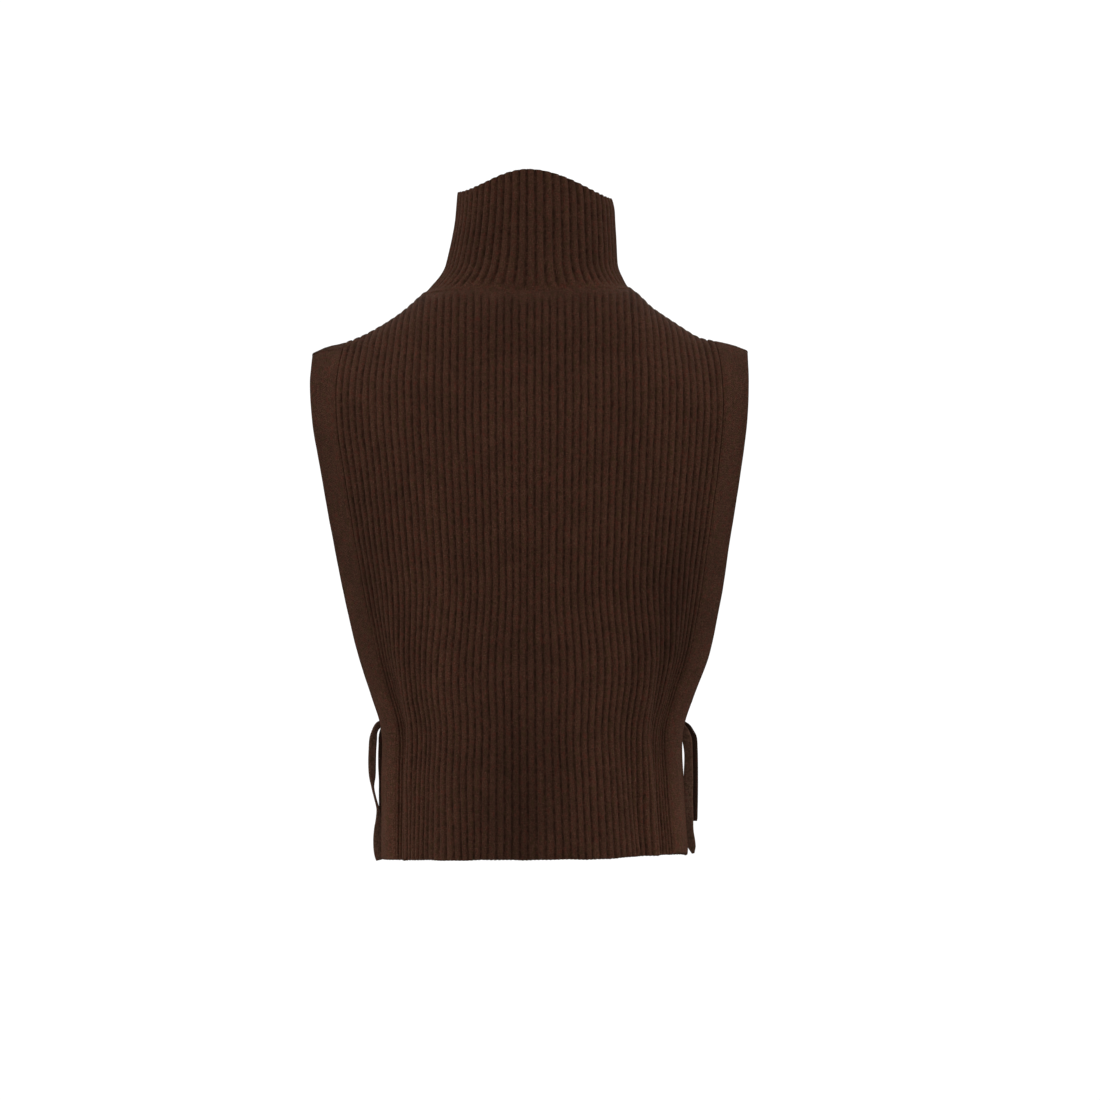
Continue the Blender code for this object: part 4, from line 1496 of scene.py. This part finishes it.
@dataclass(frozen=True)
class WaistTie:
    """A flat knitted strap that leaves a band's edge, passes the knot and hangs free."""

    node: str
    stations: tuple[Station, ...]
    ending: Ending
    width: float = 0.010             # where nothing gathers it
    thickness: float = 0.0030
    between: int = 12                # points worked out from one station to the next
    step: float = 0.0022             # spacing of the sections

    def route(self) -> Array:
        """Space the sections evenly on a smooth curve through the stations.

        Returns:
            Points, widths and width directions.
        """
        rows = np.array(self.stations)
        padded = np.concatenate([[2 * rows[0] - rows[1]], rows, [2 * rows[-1] - rows[-2]]])
        part = np.linspace(0.0, 1.0, self.between + 1)[:-1, None]
        pieces = []
        for before, start, end, after in zip(padded, padded[1:], padded[2:], padded[3:]):
            bend_out = 2 * before - 5 * start + 4 * end - after
            bend_back = 3 * start - before - 3 * end + after
            pieces.append(start + (end - before) * part / 2 + bend_out * part ** 2 / 2
                          + bend_back * part ** 3 / 2)
        dense = np.concatenate(pieces + [rows[-1:]])
        gone = travelled(dense[:, :3])
        stops = np.linspace(0.0, gone[-1], int(round(gone[-1] / self.step)) + 1)
        return np.stack([np.interp(stops, gone, column) for column in dense.T], axis=-1)

    def make(self, shop: Workshop) -> bpy.types.Object:
        """Knit the strap.

        Args:
            shop: the shared tools.

        Returns:
            The finished piece.
        """
        route = self.route()
        middles = route[:, :3]
        ahead = unit(np.gradient(middles, axis=0))
        wides = route[:, 4:7] - ahead * np.sum(route[:, 4:7] * ahead, axis=1, keepdims=True)
        shares = np.ones(len(route))
        shares[-len(self.ending.value):] = self.ending.value
        wides = unit(wides) * route[:, 3:4] / 2 * shares[:, None]
        name = self.node.replace("tie_", "strap_")
        # The front straps take the darker copy of the strap wool, as painted shade.
        finish = shop.shaded_strap if "front" in name else shop.strap
        piece = swept(name, middles, wides, strap_section(self.thickness), False, finish)
        return hand_in(piece, self.node)


class Turn(NamedTuple):
    """One turn of a knot's strap, against the knot's own radius and width."""

    word: str                        # what its name ends with
    lean: float                      # how far its high side stands above its middle
    way: float                       # the direction of its high side, in radians
    outside: float                   # how far outside the first turn it lies
    share: float                     # of the width


@dataclass(frozen=True)
class WaistKnot:
    """The turns of strap that hold a pair of ties together."""

    node: str
    centre: tuple[float, float, float]
    radius: float = 0.0060
    width: float = 0.0074
    thickness: float = 0.0023
    steps: int = 36

    turns = (Turn("_wrap", 0.0022, 0.6, 0.0, 1.0), Turn("_wrap_over", -0.0030, 0.9, 0.0008, 0.72))

    def wind(self, turn: Turn, shop: Workshop) -> bpy.types.Object:
        """Wind one turn of strap round the ties.

        Args:
            turn: how it lies.
            shop: the shared tools.

        Returns:
            The ring.
        """
        angle = np.linspace(0.0, 2 * pi, self.steps, endpoint=False)
        radius = self.radius + turn.outside
        middles = np.array(self.centre) + np.stack(
            [radius * np.cos(angle), radius * np.sin(angle), turn.lean * np.cos(angle - turn.way)],
            axis=-1)
        ahead = unit(np.roll(middles, -1, axis=0) - np.roll(middles, 1, axis=0))
        up = np.array([0.0, 0.0, 1.0]) - ahead * ahead[:, 2:]
        return swept(self.node + turn.word, middles, unit(up) * self.width * turn.share / 2,
                     strap_section(self.thickness), True, shop.strap)

    def make(self, shop: Workshop) -> bpy.types.Object:
        """Tie the knot.

        Args:
            shop: the shared tools.

        Returns:
            The finished piece.
        """
        rings = [self.wind(turn, shop) for turn in self.turns]
        with bpy.context.temp_override(active_object=rings[0], selected_editable_objects=rings,
                                       selected_objects=rings, object=rings[0]):
            bpy.ops.object.join()
        return hand_in(rings[0], self.node)


TIES = {
    "tie_back_left": (
        Station(0.1574, 0.0121, -0.4150, 0.0100, 0.3, 0.0, 1.0),
        Station(0.1573, 0.0085, -0.4152, 0.0098, 0.3, 0.0, 1.0),
        Station(0.1550, 0.0045, -0.4158, 0.0085, 0.2, 0.0, 1.0),
        Station(0.1516, 0.0010, -0.4178, 0.0072, 0.5, 0.1, 0.8),
        Station(0.1470, -0.0018, -0.4215, 0.0066, 0.8, 0.1, 0.5),
        Station(0.1446, -0.0028, -0.4265, 0.0066, 1.0, 0.0, 0.2),
        Station(0.1440, -0.0031, -0.4320, 0.0066, 1.0, 0.0, 0.0),
        Station(0.1448, -0.0031, -0.4370, 0.0068, 1.0, 0.0, 0.1),
        Station(0.1484, -0.0028, -0.4402, 0.0078, 1.0, 0.3, 0.3),
        Station(0.1530, -0.0023, -0.4425, 0.0095, 0.6, 0.8, 0.3),
        Station(0.1562, -0.0016, -0.4480, 0.0100, 0.5, 0.9, 0.1),
        Station(0.1578, -0.0010, -0.4560, 0.0100, 0.7, 0.7, 0.0),
        Station(0.1586, -0.0006, -0.4680, 0.0100, 0.7, 0.7, 0.0),
        Station(0.1589, -0.0003, -0.4800, 0.0100, 0.7, 0.7, 0.0),
        Station(0.1587, -0.0001, -0.4920, 0.0100, 0.6, 0.8, 0.0),
        Station(0.1582, 0.0001, -0.5040, 0.0098, 0.1, 1.0, 0.0),
        Station(0.1558, 0.0002, -0.5150, 0.0096, 0.0, 1.0, 0.0),
        Station(0.1532, 0.0002, -0.5250, 0.0096, 0.1, 1.0, 0.0),
        Station(0.1522, 0.0000, -0.5350, 0.0098, 0.5, 0.9, 0.0),
        Station(0.1527, -0.0004, -0.5460, 0.0100, 0.8, 0.6, 0.0),
        Station(0.1531, -0.0008, -0.5570, 0.0100, 0.9, 0.4, 0.0),
        Station(0.1526, -0.0010, -0.5680, 0.0100, 0.9, 0.4, 0.0),
        Station(0.1508, -0.0010, -0.5770, 0.0096, 0.9, 0.4, 0.0),
    ),
    "tie_front_left": (
        Station(0.1572, -0.0228, -0.4150, 0.0100, 0.3, 0.0, 1.0),
        Station(0.1571, -0.0190, -0.4152, 0.0098, 0.3, 0.0, 1.0),
        Station(0.1548, -0.0148, -0.4158, 0.0085, 0.2, 0.0, 1.0),
        Station(0.1514, -0.0112, -0.4178, 0.0072, 0.5, -0.1, 0.8),
        Station(0.1468, -0.0083, -0.4215, 0.0066, 0.8, -0.1, 0.5),
        Station(0.1445, -0.0072, -0.4265, 0.0066, 1.0, 0.0, 0.2),
        Station(0.1440, -0.0069, -0.4320, 0.0066, 1.0, 0.0, 0.0),
        Station(0.1446, -0.0076, -0.4385, 0.0068, 1.0, 0.0, 0.0),
        Station(0.1466, -0.0092, -0.4450, 0.0078, 0.9, 0.3, 0.0),
        Station(0.1484, -0.0102, -0.4530, 0.0088, 0.9, 0.5, 0.0),
        Station(0.1490, -0.0104, -0.4620, 0.0090, 0.8, 0.7, 0.0),
        Station(0.1495, -0.0107, -0.4720, 0.0090, 0.7, 0.7, 0.0),
        Station(0.1498, -0.0108, -0.4840, 0.0090, 0.6, 0.8, 0.0),
        Station(0.1498, -0.0108, -0.4970, 0.0090, 0.4, 0.9, 0.0),
        Station(0.1498, -0.0107, -0.5100, 0.0090, 0.4, 0.9, 0.0),
        Station(0.1497, -0.0106, -0.5220, 0.0090, 0.4, 0.9, 0.0),
        Station(0.1495, -0.0105, -0.5350, 0.0090, 0.4, 0.9, 0.0),
    ),
    "tie_back_right": (
        Station(-0.1608, 0.0103, -0.4150, 0.0100, -0.3, 0.0, 1.0),
        Station(-0.1606, 0.0065, -0.4152, 0.0098, -0.3, 0.0, 1.0),
        Station(-0.1584, 0.0028, -0.4158, 0.0085, -0.2, 0.0, 1.0),
        Station(-0.1556, -0.0002, -0.4178, 0.0072, -0.5, 0.1, 0.8),
        Station(-0.1512, -0.0024, -0.4215, 0.0066, -0.8, 0.1, 0.5),
        Station(-0.1486, -0.0033, -0.4265, 0.0066, -1.0, 0.0, 0.2),
        Station(-0.1480, -0.0036, -0.4320, 0.0066, -1.0, 0.0, 0.0),
        Station(-0.1483, -0.0035, -0.4385, 0.0068, -1.0, 0.1, 0.0),
        Station(-0.1503, -0.0024, -0.4440, 0.0086, -1.0, 0.2, 0.3),
        Station(-0.1534, -0.0012, -0.4495, 0.0100, -1.0, 0.2, 0.3),
        Station(-0.1560, -0.0006, -0.4570, 0.0100, -1.0, 0.3, 0.1),
        Station(-0.1572, 0.0001, -0.4670, 0.0100, -0.8, 0.6, 0.0),
        Station(-0.1575, 0.0003, -0.4790, 0.0100, -0.8, 0.6, 0.0),
        Station(-0.1573, 0.0003, -0.4920, 0.0100, -0.9, 0.4, 0.0),
        Station(-0.1570, 0.0003, -0.5060, 0.0100, -1.0, 0.1, 0.0),
        Station(-0.1571, 0.0002, -0.5200, 0.0100, -1.0, 0.1, 0.0),
        Station(-0.1576, 0.0001, -0.5340, 0.0100, -0.9, 0.4, 0.0),
        Station(-0.1586, 0.0000, -0.5470, 0.0102, -0.7, 0.7, 0.0),
        Station(-0.1600, 0.0000, -0.5590, 0.0098, -0.8, 0.5, 0.0),
        Station(-0.1622, 0.0002, -0.5705, 0.0070, -0.8, 0.5, 0.0),
    ),
    "tie_front_right": (
        Station(-0.1605, -0.0209, -0.4150, 0.0100, -0.3, 0.0, 1.0),
        Station(-0.1604, -0.0170, -0.4152, 0.0098, -0.3, 0.0, 1.0),
        Station(-0.1584, -0.0137, -0.4158, 0.0085, -0.2, 0.0, 1.0),
        Station(-0.1556, -0.0107, -0.4178, 0.0072, -0.5, -0.1, 0.8),
        Station(-0.1512, -0.0086, -0.4215, 0.0066, -0.8, -0.1, 0.5),
        Station(-0.1486, -0.0077, -0.4265, 0.0066, -1.0, 0.0, 0.2),
        Station(-0.1480, -0.0074, -0.4320, 0.0066, -1.0, 0.0, 0.0),
        Station(-0.1486, -0.0078, -0.4378, 0.0068, -1.0, 0.0, 0.1),
        Station(-0.1520, -0.0096, -0.4415, 0.0078, -0.9, 0.3, 0.5),
        Station(-0.1564, -0.0108, -0.4440, 0.0092, -0.6, 0.8, 0.4),
        Station(-0.1600, -0.0110, -0.4480, 0.0100, -0.4, 0.9, 0.1),
        Station(-0.1618, -0.0108, -0.4550, 0.0100, -0.8, 0.6, 0.0),
        Station(-0.1625, -0.0109, -0.4650, 0.0100, -0.8, 0.6, 0.0),
        Station(-0.1628, -0.0110, -0.4770, 0.0100, -0.8, 0.6, 0.0),
        Station(-0.1629, -0.0110, -0.4900, 0.0100, -0.8, 0.6, 0.0),
        Station(-0.1629, -0.0110, -0.5020, 0.0100, -0.8, 0.6, 0.0),
        Station(-0.1628, -0.0110, -0.5140, 0.0100, -0.8, 0.6, 0.0),
        Station(-0.1626, -0.0109, -0.5260, 0.0100, -0.8, 0.6, 0.0),
        Station(-0.1624, -0.0108, -0.5382, 0.0100, -0.8, 0.6, 0.0),
    ),
}
KNOTS = {
    "knot_left": (0.1440, -0.0050, -0.4320),
    "knot_right": (-0.1480, -0.0055, -0.4320),
}


# ---------------------------------------------------------------- seams
@dataclass(frozen=True)
class SeamRow:
    """A row of yarn stitches along a line on the cloth."""

    name: str
    places: Array
    normals: Array
    lift: float                      # how far the row lies off the cloth's middle
    spacing: float
    stitch: float                    # length of one
    yarn: float
    slant: float                     # radians
    seed: int = 5

    def make(self, shop: Workshop) -> bpy.types.Object:
        """Sew the row.

        Args:
            shop: the shared tools.

        Returns:
            The finished piece.
        """
        points = self.places + self.normals * self.lift
        mesh = bpy.data.meshes.new(self.name)
        mesh.from_pydata(points.tolist(), [(i, i + 1) for i in range(len(points) - 1)], [])
        out = mesh.attributes.new("out", "FLOAT_VECTOR", "POINT")
        out.data.foreach_set("vector", self.normals.astype(np.float32).ravel())
        piece = shop.seam.apply(
            new_object(self.name + "_line", mesh), self.name, Spacing=self.spacing,
            Stitch_Length=self.stitch, Yarn=self.yarn, Slant=self.slant, Seed=self.seed,
            Finish=shop.yarn)
        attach(piece, BODY)
        report(piece)
        return piece


@dataclass(frozen=True)
class Seams:
    """Every visible row of linking and binding stitches."""

    body: BodyForm
    collar: CollarForm
    neck_points: int = 241           # how finely each line is drawn
    shoulder_points: int = 90
    hem_points: int = 260
    shoulder_end: float = 0.992      # where the lines end, as parts of the half width
    hem_end: float = 0.985
    hem_inset: float = 0.0002        # how far above the cloth's edge the cast-on lies

    def neck(self) -> SeamRow:
        """Link the collar to the panels.

        Returns:
            The row round the neck.
        """
        angle = np.linspace(0.0, 2 * pi, self.neck_points)
        return SeamRow("neck_linking", *self.collar.seam(angle), lift=-0.0002, spacing=0.0026,
                       stitch=0.0048, yarn=0.0034, slant=0.75)

    def rim(self) -> SeamRow:
        """Bind the edge of the collar.

        Returns:
            The row round the rim.
        """
        angle = np.linspace(0.0, 2 * pi, self.neck_points)
        up = np.ones_like(angle)
        return SeamRow("rim_binding", self.collar.points(angle, up),
                       self.collar.normals(angle, up), lift=0.0, spacing=0.0044, stitch=0.0052,
                       yarn=0.0015, slant=0.12)

    def shoulder(self, side: Side) -> SeamRow:
        """Join back and front over one shoulder.

        Args:
            side: the shoulder's side.

        Returns:
            The row from the neck to the shoulder's end.
        """
        corner = self.body.neck_left if side is Side.LEFT else self.body.neck_right
        across = np.linspace(corner, self.shoulder_end, self.shoulder_points) * side.value
        down = self.body.top_line(BACK, across)
        return SeamRow(f"shoulder_seam_{side.word}", self.body.points(BACK, across, down),
                       self.body.normals(BACK, across, down), lift=0.0008, spacing=0.0030,
                       stitch=0.0040, yarn=0.0014, slant=0.30)

    def hem(self, panel: Panel) -> SeamRow:
        """Cast on the edge of one panel and its bands.

        Args:
            panel: the panel.

        Returns:
            The row along its hem.
        """
        across = np.linspace(-self.hem_end, self.hem_end, self.hem_points)
        down = self.body.hem_line(panel, across) - self.hem_inset
        return SeamRow(f"hem_cast_on_{panel.value}", self.body.points(panel, across, down),
                       self.body.normals(panel, across, down), lift=0.0, spacing=0.0040,
                       stitch=0.0048, yarn=0.0015, slant=0.12)

    def rows(self) -> list[SeamRow]:
        """All the rows."""
        return [self.neck(), self.rim(), *map(self.shoulder, Side), *map(self.hem, Panel)]


# ---------------------------------------------------------------- studio
@dataclass(frozen=True)
class Studio:
    """A pale room with soft light, and the camera behind the garment."""

    aim: Vector = field(default_factory=lambda: Vector((-0.019, 0.0, -0.267)))
    distance: float = 12.0
    covers: float = 1.100            # width of the view at the garment's middle
    sensor: float = 36.0
    floor_level: float = -1.60
    floor_radius: float = 14.0
    sky: float = 1.06                # walls: just over the white of paper
    ceiling: float = 1.50            # a lit ceiling, so that light falls mostly from above

    def camera(self) -> None:
        """Set the camera level behind the garment, looking at its back."""
        data = bpy.data.cameras.new("camera")
        data.sensor_width = self.sensor
        data.lens = self.sensor * self.distance / self.covers
        made = new_object("camera", data)
        made.location = self.aim + Vector((0.0, self.distance, 0.0))
        made.rotation_euler = (pi / 2, 0.0, pi)
        bpy.context.scene.camera = made

    def floor(self) -> None:
        """Lay a pale floor well below the garment."""
        bpy.ops.mesh.primitive_circle_add(vertices=96, radius=self.floor_radius, fill_type="NGON",
                                          location=(0.0, 0.0, self.floor_level))
        made = bpy.context.object
        made.name = "floor"
        made.data.materials.append(StudioFinish().material())

    def light(self, name: str, place: tuple[float, float, float], size: float,
              power: float) -> None:
        """Hang a large soft lamp that faces the garment.

        Args:
            name: the lamp's name.
            place: where it hangs.
            size: the side of its square.
            power: watts.
        """
        data = bpy.data.lights.new(name, "AREA")
        data.shape, data.size, data.energy = "SQUARE", size, power
        made = new_object(name, data)
        made.location = place
        made.rotation_euler = (self.aim - Vector(place)).to_track_quat("-Z", "Y").to_euler()

    def build(self) -> None:
        """Light the room."""
        world = bpy.data.worlds.new("white_room")
        world.use_nodes = True
        back = world.node_tree.nodes["Background"]
        back.inputs["Color"].default_value = (1.0, 1.0, 1.0, 1.0)
        ray = put(world.node_tree, "ShaderNodeTexCoord").outputs["Generated"]
        height = put(world.node_tree, "ShaderNodeSeparateXYZ", ray).outputs["Z"]
        glow = put(world.node_tree, RANGE, height, 0.0, 1.0, self.sky, self.ceiling)
        world.node_tree.links.new(glow.outputs[0], back.inputs["Strength"])
        bpy.context.scene.world = world
        bpy.context.scene.view_settings.view_transform = "Standard"
        self.floor()
        self.light("back_key", (0.3, 3.0, 2.7), 1.5, 40.0)
        self.light("front_key", (-0.3, -3.0, 2.7), 1.5, 40.0)
        self.light("left_fill", (3.3, 0.6, 0.5), 1.4, 45.0)
        self.light("right_fill", (-3.3, 0.6, 0.5), 1.4, 45.0)


# ---------------------------------------------------------------- all together
def declare_cloth(panels: list[RibPanel],
                  bands: list[SideBand],
                  seams: dict[str, bpy.types.Object]) -> None:
    """Work out of every sheet how it was cut and what carries it, and keep none of it.

    Args:
        panels: the two panels.
        bands: the four bands.
        seams: the rows of stitches by name.
    """
    for panel in panels:
        name = panel.panel.value
        width, length, area = panel.flat_area()
        extra = [seams[f"hem_cast_on_{name}"]]
        if panel.panel is BACK:
            extra += [seams[f"shoulder_seam_{side.word}"] for side in Side]
    for band in bands:
        name = f"{band.panel.value}_{band.side.word}_plain_band"
        band.flat_size()


def main() -> None:
    """Build the garment, piece by piece, and set the studio around it."""
    logging.basicConfig(level=logging.INFO, format="%(name)s: %(message)s")
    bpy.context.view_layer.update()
    studio = Studio()
    studio.camera()

    shop = Workshop(
        RibKnit(), SeamStitches(),
        ribbed=WoolFinish("lambswool_rib_knit", Pattern.RIB).material(),
        plain=WoolFinish("lambswool_plain_knit", Pattern.PLAIN).material(),
        # The straps' and knots' wool is painted paler than the body's, as painted light.
        strap=WoolFinish("lambswool_strap_knit", Pattern.YARN, main="#3C2920",
                         pale="#4E382D").material(),
        # A much darker copy of the strap wool for the front straps: painted shade.
        shaded_strap=WoolFinish("lambswool_inner_strap_knit", Pattern.YARN, main="#1F120C",
                                pale="#2C1C15").material(),
        yarn=WoolFinish("lambswool_linking_yarn", Pattern.YARN, bump=0.0002).material())

    knots = {name: WaistKnot(name, place).make(shop) for name, place in KNOTS.items()}
    for name, stations in TIES.items():
        tie = WaistTie(name, stations,
                       Ending.POINTED if name == "tie_back_right" else Ending.SQUARE)
        tie.make(shop)

    body = BodyForm()
    collar = CollarForm(body)
    panels = [RibPanel(panel, body) for panel in Panel]
    bands = [SideBand(panel, side, body) for panel in Panel for side in Side]
    pieces = [panel.make(shop) for panel in panels]
    pieces += [band.make(shop, panels[0].row_parts()) for band in bands]
    pieces.append(HighCollar(collar).make(shop))
    seams = {row.name: row.make(shop) for row in Seams(body, collar).rows()}
    declare_cloth(panels, bands, seams)

    studio.build()
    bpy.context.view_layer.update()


if __name__ == "__main__":
    main()
